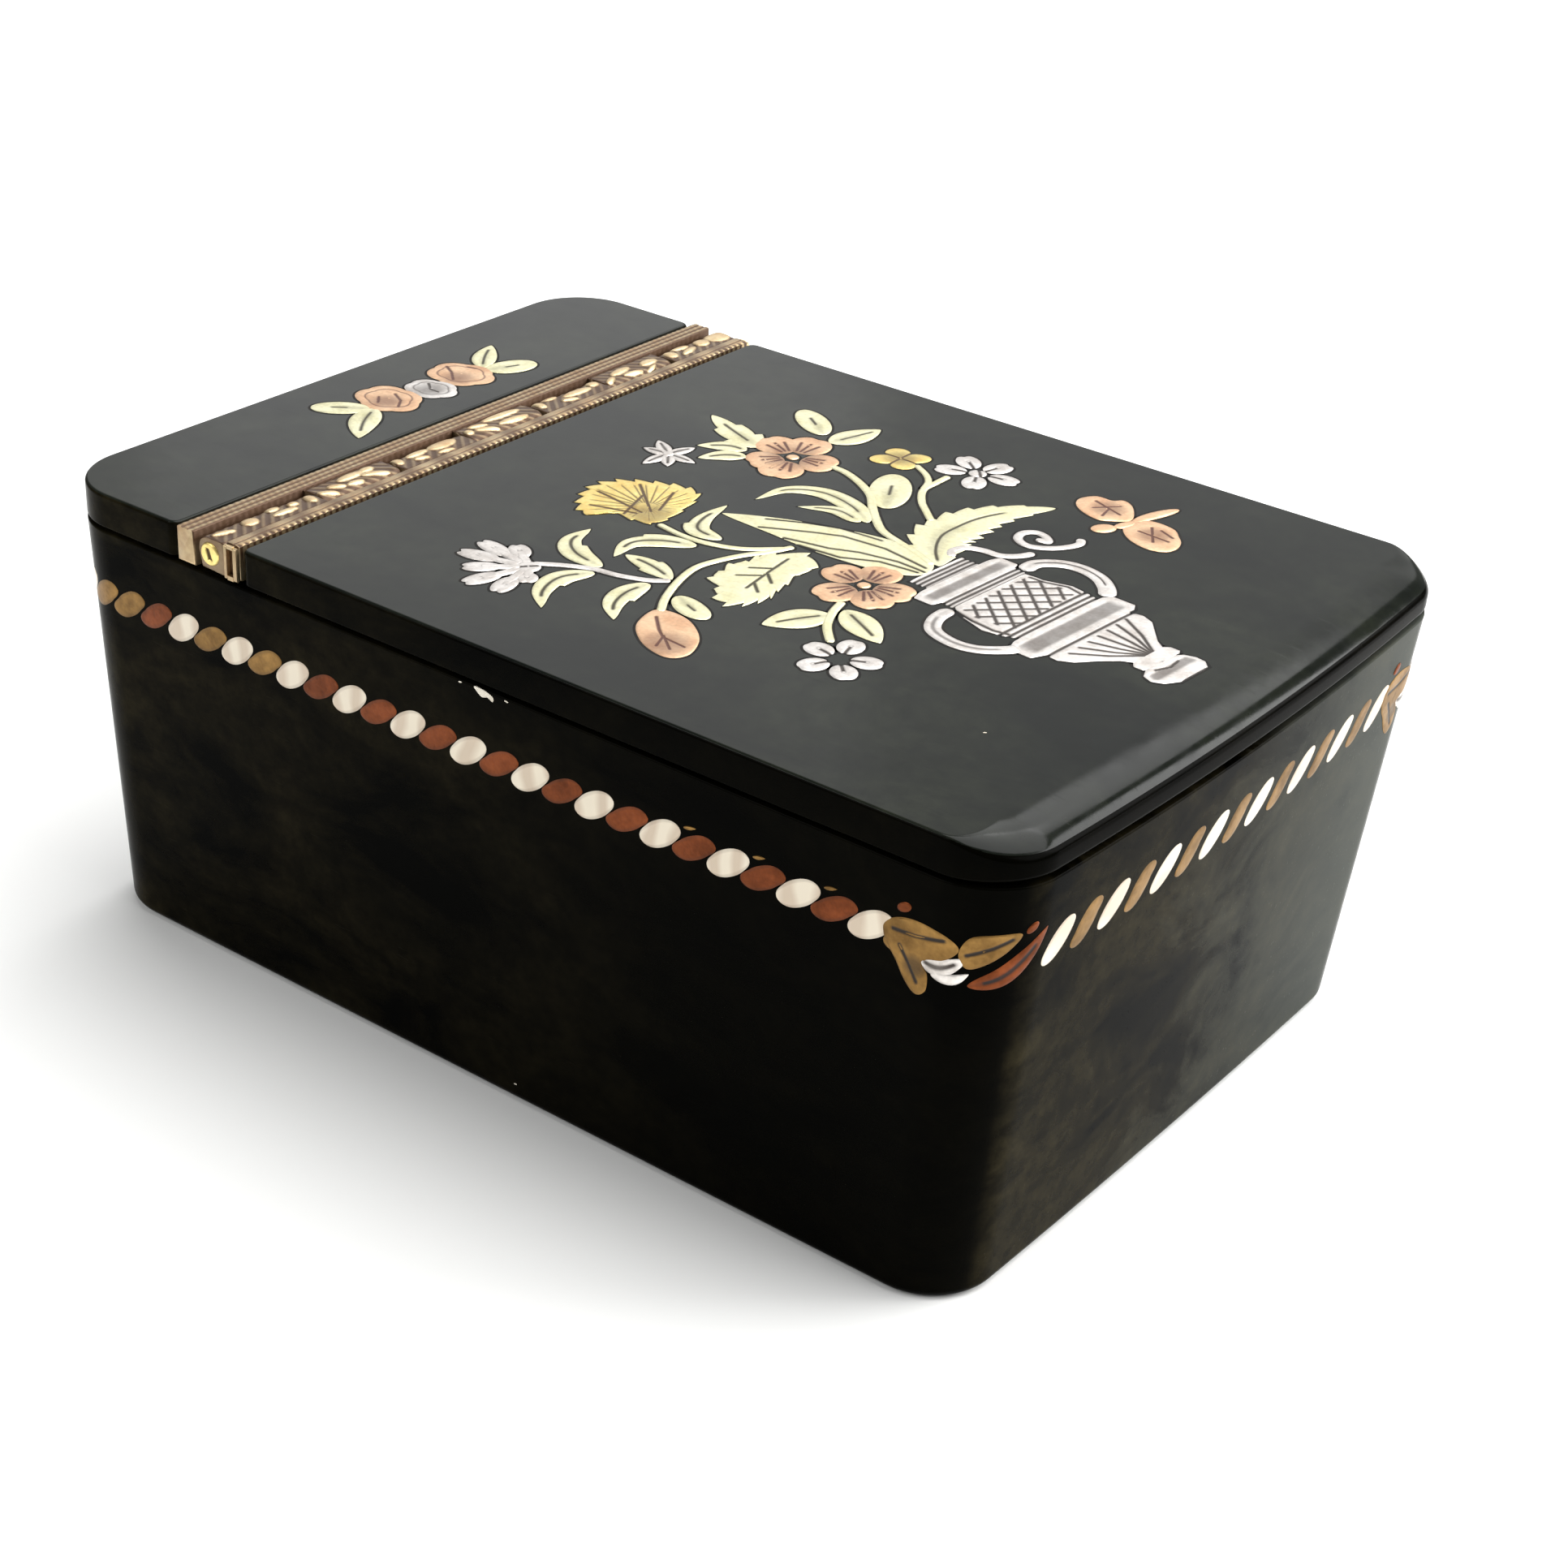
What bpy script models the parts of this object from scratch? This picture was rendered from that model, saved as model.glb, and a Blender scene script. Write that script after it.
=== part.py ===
"""A tortoiseshell snuff box with a gold strap hinge and flush inlay, for Blender 4.5.

+X runs from the hinge end to the thumb end, +Z is up, and the origin is at the centre of
the underside. Sizes are in millimetres, and every mesh is turned to metres as it is made.
"""
import math

import bmesh
import bpy

MM = 0.001

# Box body
box_length = 85.2            # rear wall to the middle of the bowed front
box_width = 58.0
front_bow = 1.2              # how far the front swells past its corners, at the seam
foot_bow = 0.3               # the same at the underside
body_height = 33.2
wall_thickness = 2.4
floor_thickness = 2.4
rear_draft = 0.3             # how far each wall leans in from the seam to the underside
side_draft = 1.6
front_draft = 2.6
rear_corner_radius = 5.5
front_corner_radius = 5.0
foot_edge_radius = 0.8
rim_edge = 0.15
cavity_edge_radius = 1.4

# Lid and rear plate
seam_gap = 0.3
plate_thickness = 2.65
plate_edge_radius = 0.3
front_roll = 4.0             # depth of the rounded front of the lid, seen from above
front_drop = 1.5             # and how far it falls
lip_radius = 0.45
butt_corner_radius = 0.8     # plan corners where a plate meets the strap

# Hinge strap
rear_plate_length = 13.0
strap_gap = 0.3              # between a plate and the strap
rear_leaf_width = 1.7
front_bar_width = 1.25
strap_proud = 0.1            # above the plates and past the walls
knuckle_clearance = 0.15
knuckle_gap = 0.15
first_knuckle_length = 10.6
knuckle_count = 7
ridge_count = 3
ridge_height = 0.12
pin_radius = 0.5
pin_clearance = 0.08
boss_radius = 0.9
boss_depth = 0.5
end_groove_depth = 0.35
end_groove_width = 0.5
end_frame = 0.45

# Inlay
inlay_thickness = 0.5
inlay_clearance = 0.3
rope_drop = 5.3              # from the seam down to the middle of the twisted rope
rope_width = 2.7
rope_waist = 1.9
rope_piece_length = 2.8
stem_radius = 0.35
handle_radius = 0.45

CORNER_STEPS = 6
BOW_STEPS = 8
EDGE_STEPS = 3
ROLL_STEPS = 6
LEAF_SIDES = 10
PETAL_STEPS = 3
ROUND_SIDES = 16

rear_x = -box_length / 2
front_x = box_length / 2 - front_bow
half_width = box_width / 2
plate_bottom = body_height + seam_gap
plate_top = plate_bottom + plate_thickness
rope_height = body_height - rope_drop
strap_top = plate_top + strap_proud
strap_half = half_width + strap_proud
knuckle_radius = (strap_top - plate_bottom) / 2
pin_z = plate_bottom + knuckle_radius
strap_rear = rear_x + rear_plate_length + strap_gap
rear_leaf_front = strap_rear + rear_leaf_width
pin_x = rear_leaf_front + knuckle_clearance + knuckle_radius
front_bar_rear = pin_x + knuckle_radius + knuckle_clearance
strap_front = front_bar_rear + front_bar_width
lid_rear = strap_front + strap_gap

# The bouquet and the vase are drawn on the lid from the middle of the vase's mouth, with
# X towards the thumb end. Leaves are (x, y, length, width, angle in degrees).
mouth_x = 14.6
mouth_y = 1.6
vase_tilt = -6.0
LEAVES = (
    (-20.0, -13.9, 6.5, 2.2, 137), (-17.7, -19.9, 6.6, 2.3, 116), (-15.2, -12.9, 6.0, 2.4, 4),
    (-13.0, -17.6, 6.5, 2.3, 112), (-8.6, -16.4, 3.6, 2.4, -11), (-16.2, -4.4, 5.5, 2.0, 125),
    (-17.4, -10.0, 7.0, 2.0, 60), (-9.0, -1.5, 16.0, 4.2, 7), (-8.0, -7.8, 9.8, 4.6, 75),
    (-26.1, 10.5, 8.0, 3.4, -20), (-23.6, 7.4, 4.2, 2.2, 52), (-22.6, 16.4, 5.2, 2.6, -18),
    (-18.7, 16.6, 5.2, 2.6, 72), (-12.6, 3.6, 9.5, 3.0, 17), (-10.4, 9.8, 6.0, 3.0, -55),
    (-2.1, -13.3, 4.5, 2.2, 23), (1.8, -10.7, 4.2, 2.2, -6), (-1.6, 8.3, 14.0, 3.4, 84),
    (-7.1, -20.8, 7.0, 4.2, -50),
)
# Flowers are (x, y, diameter, petals)
FLOWERS = (
    (-22.7, -20.6, 6.2, 5), (-22.9, -4.7, 8.4, 9), (-19.5, 9.6, 8.0, 5), (-13.6, 15.3, 5.0, 5),
    (-2.1, -5.6, 6.8, 5), (3.5, -15.9, 6.0, 5), (-7.7, 17.0, 6.2, 5),
)
# Stems are runs of (x, y)
STEMS = (
    ((-22.0, -18.8), (-17.3, -15.9), (-12.4, -14.2)),
    ((-9.0, -18.8), (-12.2, -14.0), (-11.4, -8.8), (-8.0, -2.4)),
    ((-19.8, -7.3), (-13.6, -7.3), (-8.2, -2.6)),
    ((-16.6, 9.8), (-10.9, 7.3), (-8.6, 4.5), (-1.2, 0.2)),
    ((-11.8, 14.5), (-8.9, 12.3), (-6.9, 8.6), (-3.9, 4.6), (-0.9, 0.6)),
    ((-8.8, 14.6), (-8.5, 10.8), (-6.4, 7.8)),
    ((-1.5, -8.5), (0.6, -13.1), (2.4, -14.6)),
    ((-19.6, 12.4), (-20.4, 15.6)),
    ((-19.4, 12.4), (-19.3, 14.4)),
    ((-8.9, 7.6), (-6.6, 8.2)),
    ((-11.6, -16.2), (-9.6, -16.3)),
    ((-1.4, -3.0), (-0.9, 0.2)),
)
STAR = (-27.1, 3.7, 4.6, 6)
TENDRIL = ((1.6, 8.8), (1.9, 10.8), (3.4, 10.4), (3.1, 8.8), (5.3, 11.6))
# Bands of the vase are (start, end, half width at each) along its axis from the mouth
VASE_BANDS = (
    (0.0, 2.2, 1.9, 1.9), (1.9, 3.0, 4.4, 4.4), (2.8, 4.3, 2.2, 2.9), (4.2, 11.9, 2.9, 4.2),
    (11.7, 13.2, 5.8, 5.8), (13.0, 18.8, 4.0, 1.2), (18.6, 19.8, 1.5, 1.5),
    (19.6, 20.8, 1.0, 1.7), (20.7, 21.9, 2.4, 2.4),
)
# Vase handles are runs of (distance along the axis, distance to the side)
VASE_HANDLES = (
    ((3.6, 2.4), (4.1, 5.4), (6.0, 8.2), (8.7, 8.8), (11.0, 7.2), (12.0, 5.2)),
    ((3.6, -2.4), (4.4, -5.0), (5.6, -7.4), (8.0, -8.6), (10.6, -7.4), (12.0, -5.2)),
)
# The butterfly's wings and body are ellipses like leaves, about its own middle
butterfly_x = 20.6
butterfly_y = 18.6
BUTTERFLY = ((-2.6, 0.4, 5.4, 3.6, 12), (2.4, -0.9, 5.6, 3.6, -8), (-0.4, -1.6, 2.6, 1.6, 50),
             (1.0, 2.0, 5.4, 1.1, 62))
# The spray on the rear plate is drawn from its middle rose
spray_x = -34.9
spray_y = 2.7
SPRAY_LEAVES = ((-2.1, -7.6, 5.5, 2.0, 34), (1.8, -8.4, 5.0, 2.6, -46),
                (-1.6, 8.0, 5.0, 2.6, -46), (1.3, 7.7, 5.0, 2.0, 50))
SPRAY_ROSES = ((-0.3, -4.2, 5.8, 7), (0.0, 0.0, 4.6, 7), (-0.2, 3.9, 5.8, 7))


def smooth_step(t):
    """Rises from 0 to 1 with level ends."""
    t = min(max(t, 0.0), 1.0)
    return t * t * (3.0 - 2.0 * t)


def mix(a, b, t):
    """Goes from a to b as t goes from 0 to 1."""
    return a + (b - a) * t


def plan(rear, front, half, radius_rear, radius_front, bow=0.0):
    """Outline of a rounded rectangle, counter-clockwise, as (x, y, frontness, normal)."""
    corners = (
        (front - radius_front, half - radius_front, radius_front, 0.0),
        (rear + radius_rear, half - radius_rear, radius_rear, 90.0),
        (rear + radius_rear, -half + radius_rear, radius_rear, 180.0),
        (front - radius_front, -half + radius_front, radius_front, 270.0),
    )
    points = []
    for cx, cy, radius, start in corners:
        for step in range(CORNER_STEPS + 1):
            angle = math.radians(start + 90.0 * step / CORNER_STEPS)
            normal = (math.cos(angle), math.sin(angle))
            points.append((cx + radius * normal[0], cy + radius * normal[1], normal))
    span = half - radius_front
    for step in range(1, BOW_STEPS):
        points.append((front, -span + 2 * span * step / BOW_STEPS, (1.0, 0.0)))
    outline = []
    for x, y, normal in points:
        frontness = smooth_step((x - front + radius_front) / radius_front)
        swell = bow * (1.0 - (y / half) ** 2) * frontness
        outline.append((x + swell, y, frontness, normal))
    return outline


def ring(outline, inset, height):
    """The outline moved in along its normals, where inset and height depend on frontness."""
    return [(x - normal[0] * inset(frontness), y - normal[1] * inset(frontness),
             height(frontness)) for x, y, frontness, normal in outline]


def loft(rings, closed=False):
    """Bridges rings of equal length, and caps the first and the last unless closed."""
    count = len(rings[0])
    verts = [point for points in rings for point in points]
    faces = []
    for level in range(len(rings) if closed else len(rings) - 1):
        low = level * count
        high = (level + 1) % len(rings) * count
        for i in range(count):
            j = (i + 1) % count
            faces.append((low + i, low + j, high + j, high + i))
    if not closed:
        faces.append(tuple(reversed(range(count))))
        faces.append(tuple(range(len(verts) - count, len(verts))))
    return verts, faces


def material(name, colour, roughness, metallic):
    """A Principled material of one colour."""
    made = bpy.data.materials.new(name)
    made.use_nodes = True
    shader = made.node_tree.nodes["Principled BSDF"]
    shader.inputs["Base Color"].default_value = (*colour, 1.0)
    shader.inputs["Roughness"].default_value = roughness
    shader.inputs["Metallic"].default_value = metallic
    made.diffuse_color = (*colour, 1.0)
    return made


def add_object(name, shape, finish=None, hinge=None, sharp_angle=35.0):
    """Makes a closed object from millimetre points, about the hinge axis if it swings."""
    verts, faces = shape
    shift = (pin_x, 0.0, pin_z) if hinge else (0.0, 0.0, 0.0)
    mesh = bpy.data.meshes.new(name)
    local = [tuple((value - move) * MM for value, move in zip(point, shift)) for point in verts]
    mesh.from_pydata(local, [], faces)
    work = bmesh.new()
    work.from_mesh(mesh)
    bmesh.ops.recalc_face_normals(work, faces=work.faces)
    work.to_mesh(mesh)
    work.free()
    mesh.shade_smooth()
    mesh.set_sharp_from_angle(angle=math.radians(sharp_angle))
    if finish:
        mesh.materials.append(finish)
    made = bpy.data.objects.new(name, mesh)
    bpy.context.scene.collection.objects.link(made)
    made.parent = hinge
    return made


def prism_y(profile, low, high):
    """A profile of (x, z) points carried along Y."""
    return loft([[(x, y, z) for x, z in profile] for y in (low, high)])


def prism_z(outline, low, high):
    """An outline of (x, y) points carried along Z."""
    return loft([[(x, y, z) for x, y in outline] for z in (low, high)])


def arc(cx, cz, radius, start, end, steps):
    """Points on an arc, with angles in degrees from +X."""
    angles = [math.radians(mix(start, end, step / steps)) for step in range(steps + 1)]
    return [(cx + radius * math.cos(angle), cz + radius * math.sin(angle)) for angle in angles]


def boolean(target, tools, operation):
    """Adds an exact Boolean with each tool, and hides the tools as guides."""
    for tool in tools:
        tool.hide_render = True
        tool.display_type = 'WIRE'
        modifier = target.modifiers.new(operation.lower(), 'BOOLEAN')
        modifier.operation = operation
        modifier.solver = 'EXACT'
        modifier.object = tool


def body_ring(height, inset=0.0):
    """A level ring of the body, set in from the outer wall, which leans towards its foot."""
    lean = (body_height - height) / body_height
    outline = plan(rear_x + rear_draft * lean + inset, front_x - front_draft * lean - inset,
                   half_width - side_draft * lean - inset,
                   max(rear_corner_radius - inset, foot_edge_radius),
                   max(front_corner_radius - inset, foot_edge_radius),
                   mix(front_bow, foot_bow, lean))
    return [(x, y, height) for x, y, frontness, normal in outline]


def make_body(finish):
    """The hollow body: outer wall with the channel for the rope, rim, cavity and floor."""
    channel = inlay_thickness + inlay_clearance
    channel_half = rope_width / 2 + inlay_clearance
    quarter = [math.radians(90.0 * step / EDGE_STEPS) for step in range(EDGE_STEPS + 1)]
    rings = [body_ring(foot_edge_radius * (1 - math.cos(angle)),
                       foot_edge_radius * (1 - math.sin(angle))) for angle in quarter]
    rings += [
        body_ring(rope_height - channel_half),
        body_ring(rope_height - channel_half, channel),
        body_ring(rope_height + channel_half, channel),
        body_ring(rope_height + channel_half),
        body_ring(body_height - rim_edge),
        body_ring(body_height, rim_edge),
        body_ring(body_height, wall_thickness),
    ]
    rings += [body_ring(floor_thickness + cavity_edge_radius * (1 - math.cos(angle)),
                        wall_thickness + cavity_edge_radius * (1 - math.sin(angle)))
              for angle in reversed(quarter)]
    return add_object("box_body", loft(rings), finish)


def plate_rings(outline, lip, roll, drop):
    """Rings of a plate from its lower edge to its upper, rounded by functions of frontness."""
    rings = []
    for step in range(EDGE_STEPS + 1):
        angle = math.radians(90.0 * step / EDGE_STEPS)
        rings.append(ring(outline, lambda f, a=angle: lip(f) * (1 - math.sin(a)),
                          lambda f, a=angle: plate_bottom + lip(f) * (1 - math.cos(a))))
    for step in range(ROLL_STEPS + 1):
        angle = math.radians(90.0 * step / ROLL_STEPS)
        rings.append(ring(outline, lambda f, a=angle: roll(f) * (1 - math.cos(a)),
                          lambda f, a=angle: plate_top - drop(f) * (1 - math.sin(a))))
    return rings


def make_rear_plate(finish):
    """The fixed top plate behind the strap."""
    outline = plan(rear_x, strap_rear - strap_gap, half_width, rear_corner_radius,
                   butt_corner_radius)
    rings = plate_rings(outline, lambda f: rim_edge, lambda f: plate_edge_radius,
                        lambda f: plate_edge_radius)
    return add_object("rear_top_plate", loft(rings), finish)


def make_lid(finish, hinge):
    """The lid, with its thumb end rolled over to a bowed lip."""
    outline = plan(lid_rear, front_x, half_width, butt_corner_radius, front_corner_radius,
                   front_bow)
    rings = plate_rings(outline, lambda f: mix(rim_edge, lip_radius, f),
                        lambda f: mix(plate_edge_radius, front_roll, f),
                        lambda f: mix(plate_edge_radius, front_drop, f))
    return add_object("lid", loft(rings), finish, hinge)


def knuckle_spans():
    """Start and end of each knuckle along Y, from the near end."""
    rest = (2 * strap_half - first_knuckle_length) / (knuckle_count - 1)
    edges = [-strap_half, -strap_half + first_knuckle_length]
    for index in range(1, knuckle_count):
        edges.append(edges[1] + rest * index)
    spans = []
    for index in range(knuckle_count):
        low = edges[index] + (knuckle_gap / 2 if index else 0.0)
        high = edges[index + 1] - (knuckle_gap / 2 if index < knuckle_count - 1 else 0.0)
        spans.append((low, high))
    return spans


def pin_rings(radii):
    """Rings about the pin's axis, for (y, radius) pairs."""
    rings = []
    for y, radius in radii:
        circle = arc(pin_x, pin_z, radius, 0.0, 360.0, ROUND_SIDES)[:-1]
        rings.append([(x, y, z) for x, z in circle])
    return rings


def bore(name, hinge=None):
    """Cutter for the pin's bore, wider at both ends for the bosses."""
    inner = strap_half - boss_depth - pin_clearance
    outer = strap_half + boss_depth
    narrow = pin_radius + pin_clearance
    wide = boss_radius + pin_clearance
    rings = pin_rings(((-outer, wide), (-inner, wide), (-inner, narrow), (inner, narrow),
                       (inner, wide), (outer, wide)))
    return add_object(name, loft(rings), hinge=hinge)


def make_pin(finish):
    """The hinge pin with a boss at each end, flush with the strap's ends."""
    inner = strap_half - boss_depth
    rings = pin_rings(((-strap_half, boss_radius * 0.75), (-strap_half + 0.15, boss_radius),
                       (-inner, boss_radius), (-inner, pin_radius), (inner, pin_radius),
                       (inner, boss_radius), (strap_half - 0.15, boss_radius),
                       (strap_half, boss_radius * 0.75)))
    return add_object("hinge_pin", loft(rings), finish)


def make_rear_leaf(finish):
    """The fixed leaf: a reeded bar with every second knuckle."""
    low = plate_bottom
    base = strap_top - ridge_height
    width = rear_leaf_width / ridge_count
    profile = [(rear_leaf_front, low), (rear_leaf_front, base)]
    for index in range(ridge_count):
        start = rear_leaf_front - width * index
        for step in range(1, 4):
            angle = math.pi * step / 4
            profile.append((start - width * (1 - math.cos(angle)) / 2,
                            base + ridge_height * math.sin(angle)))
        profile.append((start - width, base))
    profile.append((strap_rear, low))
    leaf = add_object("hinge_rear_leaf", prism_y(profile, -strap_half, strap_half), finish)
    half_round = arc(pin_x, pin_z, knuckle_radius, -90.0, 90.0, ROUND_SIDES // 2)
    inside = rear_leaf_front - width
    knuckle = [(inside, low)] + half_round + [(inside, base)]
    tools = [add_object(f"rear_knuckle_{index}", prism_y(knuckle, *span))
             for index, span in enumerate(knuckle_spans()) if index % 2]
    boolean(leaf, tools, 'UNION')
    boolean(leaf, [bore("rear_leaf_bore")], 'DIFFERENCE')
    return leaf


def make_front_leaf(finish, hinge):
    """The lid's leaf: a bar with the other knuckles, and a sunk panel in each end."""
    low = plate_bottom
    bar = [(front_bar_rear, low), (strap_front, low), (strap_front, strap_top),
           (front_bar_rear, strap_top)]
    leaf = add_object("hinge_front_leaf", prism_y(bar, -strap_half, strap_half), finish, hinge)
    inside = front_bar_rear + front_bar_width / 4
    half_round = arc(pin_x, pin_z, knuckle_radius, 90.0, 270.0, ROUND_SIDES // 2)
    knuckle = [(inside, strap_top)] + half_round + [(inside, low)]
    tools = [add_object(f"front_knuckle_{index}", prism_y(knuckle, *span), hinge=hinge)
             for index, span in enumerate(knuckle_spans()) if index % 2 == 0]
    boolean(leaf, tools, 'UNION')
    cutters = [bore("front_leaf_bore", hinge)]
    right = strap_front - end_frame
    left = right - end_groove_width
    panel = [(left, low + end_frame), (right, low + end_frame), (right, strap_top - end_frame),
             (left, strap_top - end_frame)]
    for side in (-1, 1):
        ends = sorted((side * (strap_half - end_groove_depth), side * (strap_half + 1.0)))
        cutters.append(add_object(f"end_panel_{side + 1}", prism_y(panel, *ends), hinge=hinge))
    boolean(leaf, cutters, 'DIFFERENCE')
    return leaf


def ellipse(x, y, length, width, angle, grow=0.0, sides=LEAF_SIDES):
    """Outline of a leaf as an ellipse, grown for its pocket."""
    turn = math.radians(angle)
    points = []
    for step in range(sides):
        around = 2 * math.pi * step / sides
        along = (length / 2 + grow) * math.cos(around)
        across = (width / 2 + grow) * math.sin(around)
        points.append((x + along * math.cos(turn) - across * math.sin(turn),
                       y + along * math.sin(turn) + across * math.cos(turn)))
    return points


def flower(x, y, diameter, petals, grow=0.0):
    """Outline of a flower with round petals, grown for its pocket."""
    count = petals * PETAL_STEPS
    points = []
    for step in range(count):
        around = 2 * math.pi * step / count
        radius = diameter / 2 * (0.92 + 0.08 * math.cos(petals * around)) + grow
        points.append((x + radius * math.cos(around), y + radius * math.sin(around)))
    return points


def stroke(points, radius, grow=0.0):
    """Outline of a stem of even width along a run of points, grown for its pocket."""
    half = radius + grow
    left = []
    right = []
    for index, (x, y) in enumerate(points):
        before = points[max(index - 1, 0)]
        after = points[min(index + 1, len(points) - 1)]
        dx, dy = after[0] - before[0], after[1] - before[1]
        size = math.hypot(dx, dy)
        dx, dy = dx / size, dy / size
        reach = half * ((index == len(points) - 1) - (index == 0))
        left.append((x + dx * reach - dy * half, y + dy * reach + dx * half))
        right.append((x + dx * reach + dy * half, y + dy * reach - dx * half))
    return right + left[::-1]


def moved(points, x, y, angle=0.0):
    """Points turned and then moved to a place on the lid."""
    turn = math.radians(angle)
    return [(x + u * math.cos(turn) - v * math.sin(turn),
             y + u * math.sin(turn) + v * math.cos(turn)) for u, v in points]


def bouquet_outlines(grow=0.0):
    """Stems, leaves and flowers, which touch each other as one spray."""
    drawn = [stroke(stem, stem_radius, grow) for stem in STEMS]
    drawn += [ellipse(*leaf, grow=grow) for leaf in LEAVES]
    drawn += [flower(*head, grow=grow) for head in FLOWERS]
    return [moved(outline, mouth_x, mouth_y) for outline in drawn]


def star_outlines(grow=0.0):
    """The small star flower that stands alone."""
    return [moved(flower(*STAR, grow=grow), mouth_x, mouth_y)]


def tendril_outlines(grow=0.0):
    """The curled tendril over the vase."""
    return [moved(stroke(TENDRIL[index:index + 2], stem_radius, grow), mouth_x, mouth_y)
            for index in range(len(TENDRIL) - 1)]


def vase_outlines(grow=0.0):
    """The two-handled vase, lying along X with its foot towards the thumb end."""
    drawn = []
    for start, end, wide, narrow in VASE_BANDS:
        drawn.append([(start - grow, -wide - grow), (end + grow, -narrow - grow),
                      (end + grow, narrow + grow), (start - grow, wide + grow)])
    drawn += [stroke(handle, handle_radius, grow) for handle in VASE_HANDLES]
    return [moved(outline, mouth_x, mouth_y, vase_tilt) for outline in drawn]


def butterfly_outlines(grow=0.0):
    """Wings and body of the butterfly."""
    return [moved(ellipse(*wing, grow=grow), butterfly_x, butterfly_y) for wing in BUTTERFLY]


def spray_outlines(grow=0.0):
    """The three roses and four leaves on the rear plate."""
    drawn = [ellipse(*leaf, grow=grow) for leaf in SPRAY_LEAVES]
    drawn += [flower(*rose, grow=grow) for rose in SPRAY_ROSES]
    return [moved(outline, spray_x, spray_y) for outline in drawn]


def set_in(name, outlines, plate, finish, hinge=None):
    """Lets a flush inlay into a plate: the plate's pocket is the inlay grown by a clearance."""
    low = plate_top - inlay_thickness
    first, *others = [prism_z(outline, low, plate_top) for outline in outlines()]
    inlay = add_object(name, first, finish, hinge)
    boolean(inlay, [add_object(f"{name}_piece_{index}", shape, hinge=hinge)
                    for index, shape in enumerate(others)], 'UNION')
    pockets = [prism_z(outline, low - inlay_clearance, plate_top + 1.0)
               for outline in outlines(inlay_clearance)]
    boolean(plate, [add_object(f"{name}_pocket_{index}", shape, hinge=hinge)
                    for index, shape in enumerate(pockets)], 'DIFFERENCE')
    return inlay


def walk(points, count):
    """The closed outline again, as evenly spaced points."""
    total = [0.0]
    for index, point in enumerate(points):
        total.append(total[-1] + math.dist(point, points[(index + 1) % len(points)]))
    walked = []
    index = 0
    for step in range(count):
        target = total[-1] * step / count
        while total[index + 1] < target:
            index += 1
        share = (target - total[index]) / (total[index + 1] - total[index])
        start, end = points[index], points[(index + 1) % len(points)]
        walked.append(tuple(mix(a, b, share) for a, b in zip(start, end)))
    return walked


def make_rope(finish):
    """The twisted rope: its pieces fused to one band, flush in the channel of the walls."""
    middle = body_ring(rope_height)
    length = sum(math.dist(point, middle[index - 1]) for index, point in enumerate(middle))
    samples = 4 * round(length / (2 * rope_piece_length))

    def edge(side, inset):
        wide = walk(body_ring(rope_height + side * rope_width / 2, inset), samples)
        narrow = walk(body_ring(rope_height + side * rope_waist / 2, inset), samples)
        return [wide[i] if i % 2 else narrow[i] for i in range(samples)]

    rings = [edge(-1, 0.0), edge(1, 0.0), edge(1, inlay_thickness), edge(-1, inlay_thickness)]
    return add_object("rope_border_inlay", loft(rings, closed=True), finish)


def main():
    """Builds every piece of the box."""
    for old in list(bpy.data.objects):
        bpy.data.objects.remove(old)
    shell = material("tortoiseshell", (0.012, 0.011, 0.009), 0.18, 0.0)
    gold = material("gilt_brass", (0.52, 0.33, 0.15), 0.32, 1.0)
    yellow_gold = material("yellow_gold", (0.75, 0.52, 0.18), 0.25, 1.0)
    green_gold = material("green_gold", (0.80, 0.75, 0.42), 0.3, 1.0)
    silver = material("silver", (0.68, 0.64, 0.60), 0.3, 1.0)
    rose_gold = material("rose_gold", (0.72, 0.35, 0.24), 0.3, 1.0)
    pearl = material("mother_of_pearl", (0.78, 0.70, 0.58), 0.25, 0.0)

    axis = bpy.data.objects.new("lid_hinge_axis", None)
    axis.location = (pin_x * MM, 0.0, pin_z * MM)
    bpy.context.scene.collection.objects.link(axis)

    make_body(shell)
    rear_plate = make_rear_plate(shell)
    lid = make_lid(shell, axis)
    make_rear_leaf(gold)
    make_front_leaf(gold, axis)
    make_pin(yellow_gold)
    make_rope(pearl)
    set_in("rose_spray_inlay", spray_outlines, rear_plate, rose_gold)
    set_in("bouquet_inlay", bouquet_outlines, lid, green_gold, axis)
    set_in("vase_inlay", vase_outlines, lid, silver, axis)
    set_in("star_flower_inlay", star_outlines, lid, silver, axis)
    set_in("tendril_inlay", tendril_outlines, lid, silver, axis)
    set_in("butterfly_inlay", butterfly_outlines, lid, rose_gold, axis)


main()
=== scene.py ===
"""A tortoiseshell snuff box with a gold strap hinge and flush inlay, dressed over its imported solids.

Sizes are in millimetres, in the part's own frame: +X runs to the thumb end and +Z is up. Every
mesh is turned to metres as it is made, and its place is in its points.
"""
from __future__ import annotations

import logging
import math
from dataclasses import dataclass, field, replace
from enum import Enum
from functools import cached_property
from typing import Any, Callable, Optional, Sequence

import bpy
import numpy as np
from bpy.types import Material, Node, NodeSocket, NodeTree, Object
from mathutils import Matrix, Vector

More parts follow.
